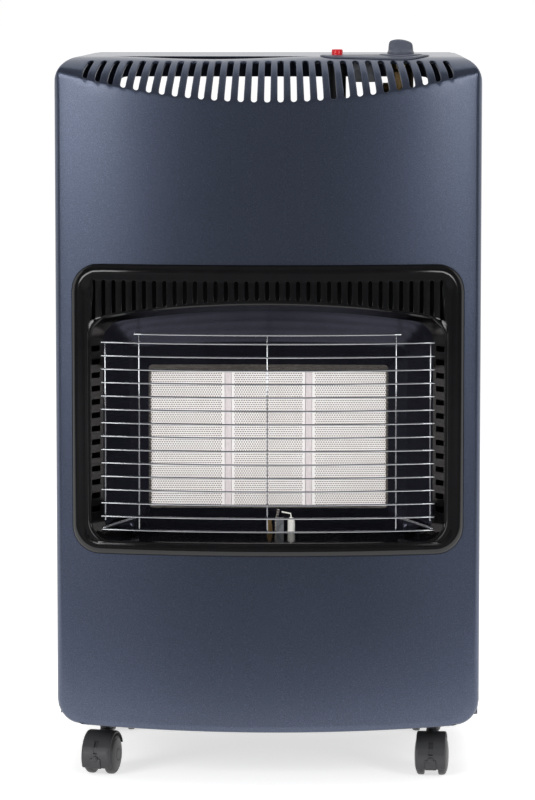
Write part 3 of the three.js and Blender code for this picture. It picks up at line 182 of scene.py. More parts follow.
class Shader:
    """A procedural material with one principled shader."""

    def __init__(self, name, **constants):
        self.material = bpy.data.materials.new(name)
        self.material.use_nodes = True
        self.tree = self.material.node_tree
        self.surface = self.tree.nodes["Principled BSDF"]
        for key, value in constants.items():
            self.put(value, self.surface.inputs[key.replace("_", " ")])
        self.coords = self.node("TexCoord").outputs["Object"]

    def put(self, value, socket):
        """Gives socket a number, a colour, a vector or the output of another node."""
        if isinstance(value, (int, float)):
            socket.default_value = value
        elif isinstance(value, tuple):
            socket.default_value = (*value, 1) if socket.type == "RGBA" else value
        else:
            self.tree.links.new(value, socket)

    def node(self, kind, sockets=None, **settings):
        node = self.tree.nodes.new("ShaderNode" + kind)
        for key, value in settings.items():
            setattr(node, key, value)
        for key, value in (sockets or {}).items():
            self.put(value, node.inputs[key])
        return node

    def stretched(self, scale):
        return self.node("Mapping", {"Vector": self.coords, "Scale": scale}).outputs["Vector"]

    def noise(self, scale, detail=2.0, roughness=0.5, vector=None):
        sockets = {"Scale": scale, "Detail": detail, "Roughness": roughness}
        sockets["Vector"] = vector or self.coords
        return self.node("TexNoise", sockets).outputs["Fac"]

    def ramp(self, source, stops):
        """stops are (position, value or colour)."""
        node = self.node("ValToRGB", {"Fac": source})
        elements = node.color_ramp.elements
        while len(elements) < len(stops):
            elements.new(0.5)
        for element, (position, value) in zip(elements, stops):
            element.position = position
            colour = value if isinstance(value, tuple) else (value, value, value)
            element.color = (*colour, 1)
        return node.outputs["Color"]

    def math(self, operation, *values):
        node = self.node("Math", operation=operation)
        for value, socket in zip(values, node.inputs):
            self.put(value, socket)
        return node.outputs["Value"]

    def mix(self, factor, a, b, blend="MIX"):
        node = self.node("Mix", data_type="RGBA", blend_type=blend)
        for key, value in (("Factor", factor), ("A", a), ("B", b)):
            self.put(value, next(s for s in node.inputs if s.name == key and s.enabled))
        return next(s for s in node.outputs if s.enabled)

    def colour(self, source):
        self.put(source, self.surface.inputs["Base Color"])

    def roughness(self, source, low, high):
        node = self.node("MapRange", {"Value": source, "To Min": low, "To Max": high})
        self.put(node.outputs["Result"], self.surface.inputs["Roughness"])

    def bump(self, source, distance, strength):
        """Adds a bump; distance in millimetres."""
        sockets = {"Height": source, "Distance": distance / 1000, "Strength": strength}
        normal = self.surface.inputs["Normal"]
        if normal.is_linked:
            sockets["Normal"] = normal.links[0].from_socket
        self.put(self.node("Bump", sockets).outputs["Normal"], normal)
        return self


def srgb(r, g, b):
    def linear(c):
        c /= 255
        return c / 12.92 if c <= 0.04045 else ((c + 0.055) / 1.055) ** 2.4

    return (linear(r), linear(g), linear(b))


def metallic_paint():
    """Grey-blue lacquer with aluminium flake under a clear film."""
    s = Shader("paint", Metallic=0.85, Coat_Weight=0.4, Coat_Roughness=0.16, Coat_IOR=1.45)
    flake = s.noise(1500, 2, 0.6)
    grain = s.noise(520, 3, 0.6)
    tones = [(0.34, srgb(70, 77, 95)), (0.52, srgb(80, 88, 107)), (0.72, srgb(98, 107, 128))]
    cloud = s.ramp(s.noise(9, 2, 0.5), [(0.3, 0.93), (0.7, 1.0)])
    s.colour(s.mix(1, s.ramp(flake, tones), cloud, "MULTIPLY"))
    s.roughness(grain, 0.27, 0.4)
    return s.bump(grain, 0.05, 0.5).bump(flake, 0.02, 0.5).material


def vitreous_enamel():
    """Black fired enamel: glassy, with the faint waviness of the fired coat."""
    s = Shader("enamel", Specular_IOR_Level=0.5)
    flow = s.noise(55, 2, 0.5)
    pit = s.noise(900, 2, 0.6)
    s.colour(s.ramp(flow, [(0.3, srgb(6, 6, 7)), (0.7, srgb(10, 10, 11))]))
    s.roughness(pit, 0.07, 0.17)
    return s.bump(flow, 0.25, 0.35).bump(pit, 0.01, 0.4).material


def metal(name, colour, low, high, streak=None, scale=400, bump=0.02):
    """Bare or plated metal. streak stretches its grain along one axis."""
    s = Shader(name, Metallic=1.0)
    colour = srgb(*colour)
    vector = s.stretched(streak) if streak else None
    grain = s.noise(scale, 3, 0.6, vector)
    stain = s.noise(25, 3, 0.6)
    dark = tuple(c * 0.82 for c in colour)
    s.colour(s.ramp(stain, [(0.3, dark), (0.65, colour)]))
    s.roughness(grain, low, high)
    return s.bump(grain, bump, 0.5).material


def galvanised_steel():
    s = Shader("galvanised", Metallic=0.85)
    spangle = s.node("TexVoronoi", {"Vector": s.coords, "Scale": 160}, feature="F1")
    tones = [(0.2, srgb(146, 150, 154)), (0.8, srgb(182, 186, 190))]
    s.colour(s.ramp(spangle.outputs["Color"], tones))
    s.roughness(s.noise(300, 3, 0.6), 0.38, 0.6)
    return s.bump(spangle.outputs["Distance"], 0.02, 0.3).material


def perforated_ceramic(node):
    """Pale fired plaque: a plain border round a staggered field of fine bores, each painted dark as
    painted shade inside the hole.
    """
    s = Shader(node, Roughness=0.9, Specular_IOR_Level=0.2)
    low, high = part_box(node)
    border = 0.0028
    split = s.node("SeparateXYZ", {"Vector": s.coords})
    x, z = split.outputs["X"], split.outputs["Z"]
    inside = None
    for value, lo, hi in ((x, low[0], high[0]), (z, low[2], high[2])):
        centre, reach = (lo + hi) / 2, (hi - lo) / 2 - border
        off = s.math("ABSOLUTE", s.math("SUBTRACT", value, centre))
        test = s.math("LESS_THAN", off, reach)
        inside = s.math("MULTIPLY", inside, test) if inside else test
    pitch = 0.0024
    across = s.math("DIVIDE", x, pitch)
    up = s.math("DIVIDE", z, pitch * 0.866)
    stagger = s.math("MULTIPLY", s.math("MODULO", s.math("FLOOR", up), 2.0), 0.5)
    shifted = s.math("ADD", s.math("ADD", across, stagger), 200.0)
    u = s.math("SUBTRACT", s.math("FRACT", shifted), 0.5)
    v = s.math("SUBTRACT", s.math("FRACT", up), 0.5)
    near = s.math("ADD", s.math("MULTIPLY", u, u), s.math("MULTIPLY", v, v))
    open_face = s.ramp(s.math("SQRT", near), [(0.25, 0.0), (0.34, 1.0)])
    # hole is 0 in a bore and 1 on the open face; it drives both the bump and the painted shade of
    # the bores
    hole = s.math("SUBTRACT", 1.0, s.math("MULTIPLY", s.math("SUBTRACT", 1.0, open_face), inside))
    stain = s.noise(60, 3, 0.6)
    body = s.ramp(stain, [(0.3, srgb(246, 241, 240)), (0.7, srgb(252, 249, 249))])
    # painted shade: the bores take a dark brown in place of the shade that falls inside them
    s.colour(s.mix(hole, srgb(112, 96, 86), body))
    return s.bump(hole, 0.35, 0.8).bump(s.noise(1200, 3, 0.6), 0.03, 0.6).material


def fibre_board():
    s = Shader("fibre", Roughness=0.95, Specular_IOR_Level=0.15)
    strands = s.noise(900, 4, 0.7, s.stretched((1, 1, 0.25)))
    s.colour(s.ramp(strands, [(0.3, srgb(214, 205, 206)), (0.7, srgb(236, 228, 230))]))
    return s.bump(strands, 0.15, 0.6).material


def moulded(name, colour, low, high, grain=1400, depth=0.02):
    """Injection-moulded plastic with a fine spark-eroded grain."""
    s = Shader(name, Specular_IOR_Level=0.45)
    colour = srgb(*colour)
    texture = s.noise(grain, 2, 0.6)
    cloud = s.noise(40, 2, 0.5)
    light = tuple(min(c * 1.18 + 0.004, 1) for c in colour)
    s.colour(s.ramp(cloud, [(0.3, colour), (0.75, light)]))
    s.roughness(texture, low, high)
    return s.bump(texture, depth, 0.6).material


# colour, least and most roughness and, where it isn't the usual one, the grain
METALS = {
    # painted shade: polished_steel is nearly black, standing for the shade and dark reflections in
    # the recessed funnel
    "polished_steel": ((54, 55, 64), 0.12, 0.24, (1, 0.15, 1), 300, 0.006),
    "chrome": ((222, 224, 228), 0.08, 0.14, None, 300, 0.004),
    "stainless": ((164, 158, 150), 0.2, 0.34, (0.05, 1, 1), 600, 0.01),
    "aluminium": ((200, 202, 205), 0.25, 0.4),
    # painted shade: the heat shield's metal is a dark grey for the shade inside the cabinet behind
    # the slots
    "painted_shade_metal": ((66, 64, 64), 0.4, 0.55),
    "brass": ((168, 140, 96), 0.24, 0.4),
    # painted shade: steel is a near-black grey for the castor stems and axles, which stand in the
    # shade under the cabinet
    "steel": ((64, 65, 68), 0.34, 0.5),
}
MOULDED = {
    "porcelain": ((238, 236, 230), 0.2, 0.32),
    "control_plastic": ((74, 78, 90), 0.34, 0.46),
    "black_plastic": ((30, 31, 33), 0.4, 0.55),
    "castor_plastic": ((58, 58, 60), 0.34, 0.46, 1100, 0.03),
    "red_plastic": ((196, 22, 32), 0.22, 0.32),
}
FINISH = {
    "paint": metallic_paint(),
    "enamel": vitreous_enamel(),
    "galvanised": galvanised_steel(),
    "fibre": fibre_board(),
    **{f"ceramic_{side}": perforated_ceramic(f"ceramic_plaque_{side}") for side in PLAQUES},
    **{name: metal(name, *look) for name, look in METALS.items()},
    **{name: moulded(name, *look) for name, look in MOULDED.items()},
}


# ---- Mesh helpers ----


def add(name, skin, finish, body="cabinet", nodes=(), weld=0.01, shape=None):
    """A mesh object that rides on body and stands for nodes.

    skin is (points, faces), in millimetres; shape, if given, works on the welded mesh."""
    points, faces = skin
    mesh = bpy.data.meshes.new(name)
    bm = bmesh.new()
    verts = [bm.verts.new(place(p)) for p in points]
    bm.verts.ensure_lookup_table()
    for ring in faces:
        corners = [verts[i] for i in dict.fromkeys(ring)]
        if len(corners) > 2:
            bm.faces.new(corners)
    if weld:
        bmesh.ops.remove_doubles(bm, verts=bm.verts, dist=weld / 1000)
    loose = [v for v in bm.verts if not v.link_faces]
    bmesh.ops.delete(bm, geom=loose, context="VERTS")
    if shape:
        shape(bm)
    for face in bm.faces:
        face.smooth = True
    bm.to_mesh(mesh)
    bm.free()
    obj = bpy.data.objects.new(name, mesh)
    bpy.context.scene.collection.objects.link(obj)
    mesh.materials.append(FINISH[finish])
    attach(obj, body)
    if nodes:
        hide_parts(*nodes)
    return obj


def modifier(obj, kind, **settings):
    mod = obj.modifiers.new(kind.lower(), kind)
    for key, value in settings.items():
        setattr(mod, key, value)
    return mod


def sheet_metal(obj, thickness):
    """Gives an open skin that faces the front its sheet thickness, with crisp cut edges."""
    orient(obj, Vector((0, -1, 0)))
    modifier(obj, "SOLIDIFY", thickness=thickness / 1000, offset=-1)
    modifier(obj, "EDGE_SPLIT", split_angle=math.radians(36))


def turn_in(bm, wanted, radius, depth, steps=3):
    """Rolls the edge of each opening in an open skin inwards.

    wanted takes the middle of a boundary edge, in millimetres in the heater's frame."""
    bm.normal_update()

    def middle(edge):
        p = (edge.verts[0].co + edge.verts[1].co) / 2
        return p.x * 1000, p.y * 1000 - SHIFT, p.z * 1000

    edges = [e for e in bm.edges if e.is_boundary and wanted(*middle(e))]
    chosen = set(edges)
    aims = {}
    for v in {v for e in edges for v in e.verts}:
        out, normal = Vector(), Vector()
        for e in v.link_edges:
            if e not in chosen:
                continue
            face = e.link_faces[0]
            d = (e.other_vert(v).co - v.co).cross(face.normal).normalized()
            if d.dot(face.calc_center_median() - v.co) > 0:
                d = -d
            out += d
            normal += face.normal
        aims[v] = (v.co.copy(), out.normalized(), normal.normalized())
    if sum(n.y for _, _, n in aims.values()) > 0:
        aims = {v: (p, o, -n) for v, (p, o, n) in aims.items()}
    ring = {v: v for v in aims}
    radius, depth = radius / 1000, depth / 1000
    profile = [
        (radius * math.sin(a), radius * (1 - math.cos(a)))
        for a in (math.pi / 2 * k / steps for k in range(1, steps + 1))
    ]
    profile.append((radius, radius + depth))
    for across, down in profile:
        fresh = {v: bm.verts.new(p + o * across - n * down) for v, (p, o, n) in aims.items()}
        for e in edges:
            a, b = e.verts
            bm.faces.new((ring[a], ring[b], fresh[b], fresh[a]))
        ring = fresh
    bmesh.ops.recalc_face_normals(bm, faces=bm.faces)


def open_round(bm, spot, radius):
    """Takes out the top's faces that come within radius of a vertical axis."""

    def near(face):
        if abs(face.normal.z) < 0.7:
            return False
        gaps = []
        for axis, centre in enumerate((spot[0], spot[1] + SHIFT)):
            at = [v.co[axis] * 1000 for v in face.verts]
            gaps.append(max(min(at) - centre, centre - max(at), 0))
        return math.hypot(*gaps) < radius

    top = [f for f in bm.faces if f.calc_center_median().z * 1000 > HEIGHT - CORNER_R]
    bmesh.ops.delete(bm, geom=[f for f in top if near(f)], context="FACES")


def grid(rows, skip=lambda r, c: False, closed=False):
    """Points and faces of a grid given as equal rows of points."""
    width = len(rows[0])
    points = [p for row in rows for p in row]
    faces = []
    for r in range(len(rows) - 1):
        for c in range(width if closed else width - 1):
            if skip(r, c):
                continue
            d = (c + 1) % width
            faces.append((r * width + c, r * width + d, (r + 1) * width + d, (r + 1) * width + c))
    return points, faces


def capped(rings):
    """Points and faces of a closed skin over rings, with a flat face at each end."""
    points, faces = grid(rings, closed=True)
    width = len(rings[0])
    faces.append(tuple(range(width))[::-1])
    faces.append(tuple(range(len(points) - width, len(points))))
    return points, faces


def merge(parts):
    points, faces = [], []
    for p, f in parts:
        base = len(points)
        points += p
        faces += [tuple(i + base for i in ring) for ring in f]
    return points, faces


def arc(cx, cy, r, start, end, steps, first=0):
    angles = [start + (end - start) * k / steps for k in range(first, steps + 1)]
    return [(cx + r * math.cos(a), cy + r * math.sin(a)) for a in angles]


def circle(cx, cy, r, steps=48):
    angles = [2 * math.pi * k / steps for k in range(steps)]
    return [(cx + r * math.cos(a), cy + r * math.sin(a)) for a in angles]


def orient(obj, outward):
    """Turns the mesh inside out if most of it faces away from outward."""
    if sum(p.normal.dot(outward) * p.area for p in obj.data.polygons) < 0:
        obj.data.flip_normals()


def clean_normals(obj):
    """Outward normals, with creases kept where the form turns sharply."""
    bm = bmesh.new()
    bm.from_mesh(obj.data)
    bmesh.ops.recalc_face_normals(bm, faces=bm.faces)
    bm.to_mesh(obj.data)
    bm.free()
    modifier(obj, "EDGE_SPLIT", split_angle=math.radians(38))


# ---- Shape of the front ----


def bow(x):
    return BOW_CENTRE_Y - math.sqrt(BOW_R**2 - x * x)


def shoulder(z):
    if z >= BEVEL_START_Z:
        return ROLL_Y - math.sqrt(max(ROLL_R**2 - (z - ROLL_Z) ** 2, 0))
    return BEVEL_START_Y - (BEVEL_START_Z - z) / math.tan(BEVEL)


def front(x, z):
    face = bow(x)
    top = shoulder(z)
    near = max(CREASE_BLEND - abs(face - top), 0) / CREASE_BLEND
    return max(face, top) + near * near * CREASE_BLEND / 4


def crease(x):
    face = bow(x)
    if face > BEVEL_START_Y:
        return ROLL_Z + math.sqrt(ROLL_R**2 - (ROLL_Y - face) ** 2)
    return BEVEL_START_Z - (BEVEL_START_Y - face) * math.tan(BEVEL)


SLOT_TOP_ANGLE = math.asin((ROLL_Y - SLOT_TOP_Y) / ROLL_R)
ROLL_ARC = ROLL_R * (BEVEL - SLOT_TOP_ANGLE)


def slot_length(x):
    face = bow(x)
    if face > BEVEL_START_Y:
        reach = ROLL_R * (math.asin((ROLL_Y - face) / ROLL_R) - SLOT_TOP_ANGLE)
    else:
        reach = ROLL_ARC + (BEVEL_START_Z - crease(x)) / math.sin(BEVEL)
    return reach + SLOT_BELOW_CREASE


def along_shoulder(x, s):
    """Height at arc length s below the slots' top end, on the section at x."""
    reach = slot_length(x) - SLOT_BELOW_CREASE
    if s >= reach:
        return crease(x) - (s - reach)
    if s <= ROLL_ARC:
        return ROLL_Z + ROLL_R * math.cos(SLOT_TOP_ANGLE + s / ROLL_R)
    return BEVEL_START_Z - (s - ROLL_ARC) * math.sin(BEVEL)


def half_width(z):
    """Half width of the front elevation at height z."""
    centre = HALF - CORNER_R
    for edge in (z - (HEIGHT - CORNER_R), PANEL_BOTTOM + CORNER_R - z):
        if edge > 0:
            return centre + math.sqrt(max(CORNER_R**2 - edge**2, 0))
    return HALF


def rolled_edge(x, z):
    """How far the face turns back towards its outline at (x, z)."""
    across = abs(x) - (HALF - CORNER_R)
    up = max(z - (HEIGHT - CORNER_R), PANEL_BOTTOM + CORNER_R - z)
    gap = CORNER_R - math.hypot(across, up) if across > 0 and up > 0 else HALF - abs(x)
    # the roll sharpens over the last stretch below the top
    sharp_from, sharpened = 690, 0.97
    radius = EDGE_R * (1 - smooth_step((z - sharp_from) / (HEIGHT - sharp_from)) * sharpened)
    if gap >= radius:
        return 0.0
    return radius - math.sqrt(max(radius**2 - (radius - gap) ** 2, 0))


def lower_edge(x):
    t = min(abs(x) / (HALF - CORNER_R), 1)
    return PANEL_BOTTOM - PANEL_DIP * (1 - t * t)


def slack(x, y):
    """The unsupported strip over the seam dips a little left of the middle."""
    if not SLACK_FROM < x < SLACK_TO:
        return 0.0
    across = (x - (SLACK_FROM + SLACK_TO) / 2) / (SLACK_TO - SLACK_FROM)
    return -SLACK_DEPTH * math.cos(math.pi * across) ** 2 * smooth_step((y - 4) / (SEAM_Y - 4))


# A slot is cut wider by its lip, which turn_in() then rolls. ROUND_END is (distance from the end,
# half width) of a slot's round end, BARS the columns between slots, MARGIN and EDGE_STEPS those
# beyond the last slot, as shares of the flat and as distances from the edge.
CUT_R = SLOT_R + SLOT_LIP
ROUND_END = [
    (CUT_R * (1 - math.cos(a)) - SLOT_LIP, CUT_R * math.sin(a))
    for a in (0, 0.26, 0.55, 0.85, 1.2, math.pi / 2)
]
BARS = 2
MARGIN = (0.8264, 0.41)
EDGE_STEPS = (6, 3.7, 1.76, 0.457, 0)


def panel_rows():
    """(height as a function of x, slot half width, fixed y or None) of each row, top to bottom."""

    def level(z):
        return lambda x: z

    def in_slot(t):
        return lambda x: along_shoulder(x, SLOT_R + (slot_length(x) - 2 * SLOT_R) * t)

    def below_slots(t, foot=640):
        return lambda x: (crease(x) - SLOT_BELOW_CREASE) * (1 - t) + foot * t

    rows = [(level(HEIGHT), 0, y) for y in (SEAM_Y, (SEAM_Y + ROLL_Y) / 2, ROLL_Y)]
    for t in (0.2, 0.4, 0.6, 0.8):
        rows.append((level(ROLL_Z + ROLL_R * math.cos(SLOT_TOP_ANGLE * t)), 0, None))
    for d, w in ROUND_END:
        rows.append((lambda x, d=d: along_shoulder(x, d), w, None))
    for t in (0.08, 0.2, 0.32, 0.44, 0.56, 0.68, 0.8, 0.92):
        rows.append((in_slot(t), CUT_R, None))
    for d, w in reversed(ROUND_END):
        rows.append((lambda x, d=d: along_shoulder(x, slot_length(x) - d), w, None))
    for t in (0.12, 0.3, 0.6):
        rows.append((below_slots(t), 0, None))
    open_rows = (APERTURE_TOP, 440, 370, 300, APERTURE_BOTTOM)
    for z in (640, 600, 560, 530, *open_rows, 200, 150, 110, 84.5):
        rows.append((level(z), 0, None))
    for d in (18, 12, 7, 4, 2.3, 1.1, 0.3, 0):
        rows.append((lambda x, d=d: lower_edge(x) + d, 0, None))
    return rows


def panel_point(x, z, y=None):
    if y is None:
        y = front(x, z) + rolled_edge(x, z)
        low = z - lower_edge(x)
        if low < FOOT_R:
            y += FOOT_R - math.sqrt(max(FOOT_R**2 - (FOOT_R - low) ** 2, 0))
    return (x, y, z + slack(x, y))


def fan_point(angle, offset, height, fixed):
    """Point of a slot's edge: offset across from the fan line at angle."""
    x = BOW_R * math.sin(angle)
    for _ in range(6):
        z = height(x)
        y = fixed if fixed is not None else front(x, z)
        reach = BOW_CENTRE_Y - y
        x = reach * math.tan(angle) + offset * math.cos(angle)
    return x, z


def panel_row(height, w, fixed):
    """One row of points across the panel, with slot edges w to each side of the fan lines."""
    row = []
    for i in range(SLOT_COUNT):
        angle = (i - (SLOT_COUNT - 1) / 2) * (SLOT_PITCH / BOW_R)
        left = fan_point(angle, -w, height, fixed)
        right = fan_point(angle, w, height, fixed)
        if row:
            last = row[-1][0]
            for k in range(1, BARS + 1):
                t = k / (BARS + 1)
                x = last * (1 - t) + left[0] * t
                row.append((x, height(x)))
        row += [left, right]
    ends = []
    for side, (x0, z0) in ((-1, row[0]), (1, row[-1])):
        limit = half_width(z0)
        reach = limit - abs(x0)
        steps = [EDGE_R + (reach - EDGE_R) * m for m in MARGIN] + list(EDGE_STEPS)
        spots = [side * (limit - d) for d in steps]
        ends.append([(x, height(x) if z0 < 100 else z0) for x in spots])
    points = [panel_point(x, z, fixed) for x, z in [*reversed(ends[0]), *row, *ends[1]]]
    walls = [
        [(x, y + (SEAM_Y - y) * t, z) for t in (0.5, 1.0)] for x, y, z in (points[0], points[-1])
    ]
    return walls[0][::-1] + points + walls[1]


# (x, y) and radius of the openings for the knob and the button, with their play
OPENINGS = (((KNOB_X, KNOB_Y), KNOB_R + 1), ((BUTTON_X, BUTTON_Y), BUTTON_R + 1.5))


def front_panel():
    rows = [panel_row(*row) for row in panel_rows()]
    edge = 2 + len(EDGE_STEPS) + len(MARGIN)
    slot_columns = {edge + i * (BARS + 2) for i in range(SLOT_COUNT)}

    def skip(r, c):
        if c in slot_columns:
            return True
        x, z = rows[r][c][0], rows[r + 1][c][2]
        inside = -APERTURE_HALF - 1 < x < APERTURE_HALF - 1
        return inside and APERTURE_BOTTOM - 1 < z < APERTURE_TOP - 1

    # the hem turns back under the lower edge
    last = rows[-1]
    flat = range(2, len(last) - 2)
    for t in (0.3, 1.0):
        turned = [(x, y + (HEM_DEPTH - y) * t, z) for x, y, z in last]
        rows.append([turned[i] if i in flat else p for i, p in enumerate(last)])

    def is_slot(x, y, z):
        return y < SLOT_TOP_Y + 2 and 660 < z < 718 and abs(x) < APERTURE_HALF

    def press(bm):
        bm.normal_update()
        for spot, radius in OPENINGS:
            open_round(bm, spot, radius)
        turn_in(bm, is_slot, SLOT_LIP, SLOT_LIP_DEPTH)

    skin = grid(rows, skip)
    panel = add("outer_panel", skin, "paint", nodes=("front_panel",), shape=press)
    sheet_metal(panel, PANEL_SHEET)


# ---- Bezel ----


def corner_of(o):
    """Centre of the rounded end of opening o's arch."""
    corner_x = o["half"] - o["top"]
    rise = math.sqrt((o["arch"] - o["top"]) ** 2 - corner_x**2)
    return corner_x, o["crown"] - o["arch"] + rise


def arch_height(o, x, grow=0.0):
    """Height of the top of opening o at x."""
    radius, r = o["arch"] + grow, o["top"] + grow
    corner_x, corner_z = corner_of(o)
    if x <= corner_x * radius / (radius - r):
        return o["crown"] - o["arch"] + math.sqrt(radius**2 - x * x)
    return corner_z + math.sqrt(max(r * r - (x - corner_x) ** 2, 0))


# A cross-line of the bezel is (outer(inset), mouth(grow), throat, slot centre or None, side of
# the slot). The lines run round the right half from the top middle to the bottom middle.
FAN_LINES = 10
SLOTS_A_SIDE = (BEZEL_SLOT_COUNT - 1) // 2


def slot_line(x, side):
    """Cross-line over the top of the mouth, on one side of the slot at x."""
    mouth_x, _ = corner_of(MOUTH)
    throat_x, _ = corner_of(THROAT)

    def outer(inset):
        if x <= RIM_X:
            return x, BEZEL_TOP - inset
        return x, RIM_Z + math.sqrt((BEZEL_R - inset) ** 2 - (x - RIM_X) ** 2)

    def mouth(grow):
        return x, arch_height(MOUTH, x, grow)

    tx = x * (THROAT["half"] / MOUTH["half"])
    if x > mouth_x:
        angle = math.acos(min((x - mouth_x) / MOUTH["top"], 1))
        tx = throat_x + THROAT["top"] * math.cos(angle)
    return outer, mouth, (tx, arch_height(THROAT, tx)), x, side


def free_line(outer, mouth, throat):
    """A cross-line that no slot touches."""
    return outer, mouth, throat, None, 0


def corner_lines():
    """Cross-lines round the upper corner and down to the first vent."""
    mouth_x, mouth_z = corner_of(MOUTH)
    throat_x, throat_z = corner_of(THROAT)
    start = math.acos((SLOTS_A_SIDE * BEZEL_SLOT_PITCH + 5 - RIM_X) / BEZEL_R)
    turn, rim_foot, mouth_start, mouth_foot = 0.55, 442, 7.5, 441
    for k in range(FAN_LINES):
        t = k / (FAN_LINES - 1)
        angle = start * (1 - t / turn)
        level = RIM_Z + (rim_foot - RIM_Z) * (t - turn) / (1 - turn)
        z = mouth_z + mouth_start + (mouth_foot - mouth_z - mouth_start) * k / (FAN_LINES - 1)

        def outer(inset, in_turn=t < turn, a=angle, level=level):
            if in_turn:
                r = BEZEL_R - inset
                return RIM_X + r * math.cos(a), RIM_Z + r * math.sin(a)
            return BEZEL_HALF - inset, level

        def mouth(grow, z=z):
            r = MOUTH["top"] + grow
            up = max(z - mouth_z, 0)
            return (mouth_x + math.sqrt(r * r - up * up) if up else MOUTH["half"] + grow), z

        up = max(z - mouth_z, 0) * THROAT["top"] / MOUTH["top"]
        tx = throat_x + math.sqrt(THROAT["top"] ** 2 - up**2)
        yield free_line(outer, mouth, (tx, throat_z + up if up else z - (mouth_z - throat_z)))


def vent_lines():
    """Cross-lines along both edges of each vent in the mouth's side wall."""
    for k in range(VENT_COUNT):
        centre = GUARD_TOP - GUARD_PITCH / 2 - k * GUARD_PITCH
        for z in (centre + VENT_HEIGHT / 2, centre - VENT_HEIGHT / 2):
            yield free_line(
                lambda inset, z=z: (BEZEL_HALF - inset, z),
                lambda grow, z=z: (MOUTH["half"] + grow, z),
                (THROAT["half"], z),
            )


def foot_lines():
    """Cross-lines round the lower corner and along the lower edge to the middle."""
    ox, oz = RIM_X, BEZEL_BOTTOM + BEZEL_R
    (mx, mz, mr), (tx, tz, tr) = (
        (o["half"] - o["foot"], o["bottom"] + o["foot"], o["foot"]) for o in (MOUTH, THROAT)
    )
    for k in range(9):
        a = -math.pi / 2 * k / 8
        c, q = math.cos(a), math.sin(a)
        yield free_line(
            lambda inset, c=c, q=q: (ox + (BEZEL_R - inset) * c, oz + (BEZEL_R - inset) * q),
            lambda grow, c=c, q=q: (mx + (mr + grow) * c, mz + (mr + grow) * q),
            (tx + tr * c, tz + tr * q),
        )
    for k in range(1, 13):
        t = 1 - k / 12
        yield free_line(
            lambda inset, t=t: (t * ox, BEZEL_BOTTOM + inset),
            lambda grow, t=t: (t * mx, MOUTH["bottom"] - grow),
            (t * tx, THROAT["bottom"]),
        )


def slot_foot(x):
    return BEZEL_SLOT_BOTTOM - (BEZEL_SLOT_ARCH_R - math.sqrt(BEZEL_SLOT_ARCH_R**2 - x * x))


def bezel_line_points(line):
    """Points of one cross-line from the rim's outer edge to the throat."""
    outer, mouth, throat, slot, side = line
    points = []

    def face(x, z, sink):
        points.append((x, bow(x) - (BEZEL_PROUD - sink), z))

    for t in (0, 0.05, 0.16, 0.32, 0.5, 0.7, 0.88, 1.0):
        proud = max(BEZEL_PROUD * math.sqrt(1 - (1 - t) ** 2), 0.3)
        face(*outer(RIM_WIDTH * t), BEZEL_PROUD - proud)
    for inset, sink in ((2.5, 0.25), (5, 0.6)):
        start = Vector(outer(RIM_WIDTH + inset))
        face(*start, sink)
    end = Vector(mouth(LIP_R))
    if slot is None:
        top = start + (end - start) * 0.12
        foot = start + (end - start) * 0.8
    else:
        top = Vector((start.x, BEZEL_SLOT_TOP))
        foot = Vector((start.x, slot_foot(slot)))
    length = (top - foot).length
    r = BEZEL_SLOT_R + BEZEL_SLOT_LIP
    ends = [(r * (1 - math.cos(a)), r * math.sin(a)) for a in (0, 0.45, 0.95, math.pi / 2)]
    marks = ends + [(r + (length - 2 * r) * t, r) for t in (0.33, 0.67)]
    marks += [(length - d, w) for d, w in reversed(ends)]
    for index, (d, w) in enumerate(marks):
        if slot is None:
            face(*(top + (foot - top) * (index / (len(marks) - 1))), 0.8)
        else:
            face(top.x + side * w, top.y - d, 0.8)
    face(*(foot + (end - foot) * 0.4), 0.5)
    for a in (0, 0.35, 0.75, 1.15, math.pi / 2):
        face(*mouth(LIP_R * (1 - math.sin(a))), LIP_R * (1 - math.cos(a)))
    x, z = mouth(0)
    y0 = bow(x) - BEZEL_PROUD + LIP_R
    for y in ((y0 + VENT_FRONT) / 2, VENT_FRONT, VENT_REAR, FUNNEL_BACK):
        t = (y - y0) / (FUNNEL_BACK - y0)
        points.append((x + (throat[0] - x) * t, y, z + (throat[1] - z) * t))
    return points


def bezel():
    lines = [slot_line(i * BEZEL_SLOT_PITCH, s) for i in range(SLOTS_A_SIDE + 1) for s in (-1, 1)]
    slot_lines = len(lines)
    first_vent = slot_lines + FAN_LINES
    lines += [*corner_lines(), *vent_lines(), *foot_lines()]
    right = [bezel_line_points(line) for line in lines]
    left = [[(-x, y, z) for x, y, z in points] for points in right]
    ring = right + left[::-1][1:-2]
    rows = list(zip(*ring))

    def skip(r, c):
        for k in (c, len(ring) - c):
            if k < slot_lines and k % 2 == 0:
                return True
            vent = k - first_vent
            if r == len(rows) - 3 and 0 <= vent < 2 * VENT_COUNT and vent % 2 == 0:
                return True
        return False

    def is_slot(x, y, z):
        return 455 < z < 508 and abs(x) < 175 and y < bow(x) - 3

    def roll_slots(bm):
        turn_in(bm, is_slot, BEZEL_SLOT_LIP, 0.6)

    skin = grid(rows, skip, closed=True)
    surround = add("bezel_surround", skin, "enamel", nodes=("bezel",), shape=roll_slots)
    sheet_metal(surround, BEZEL_SHEET)


# ---- Guard ----


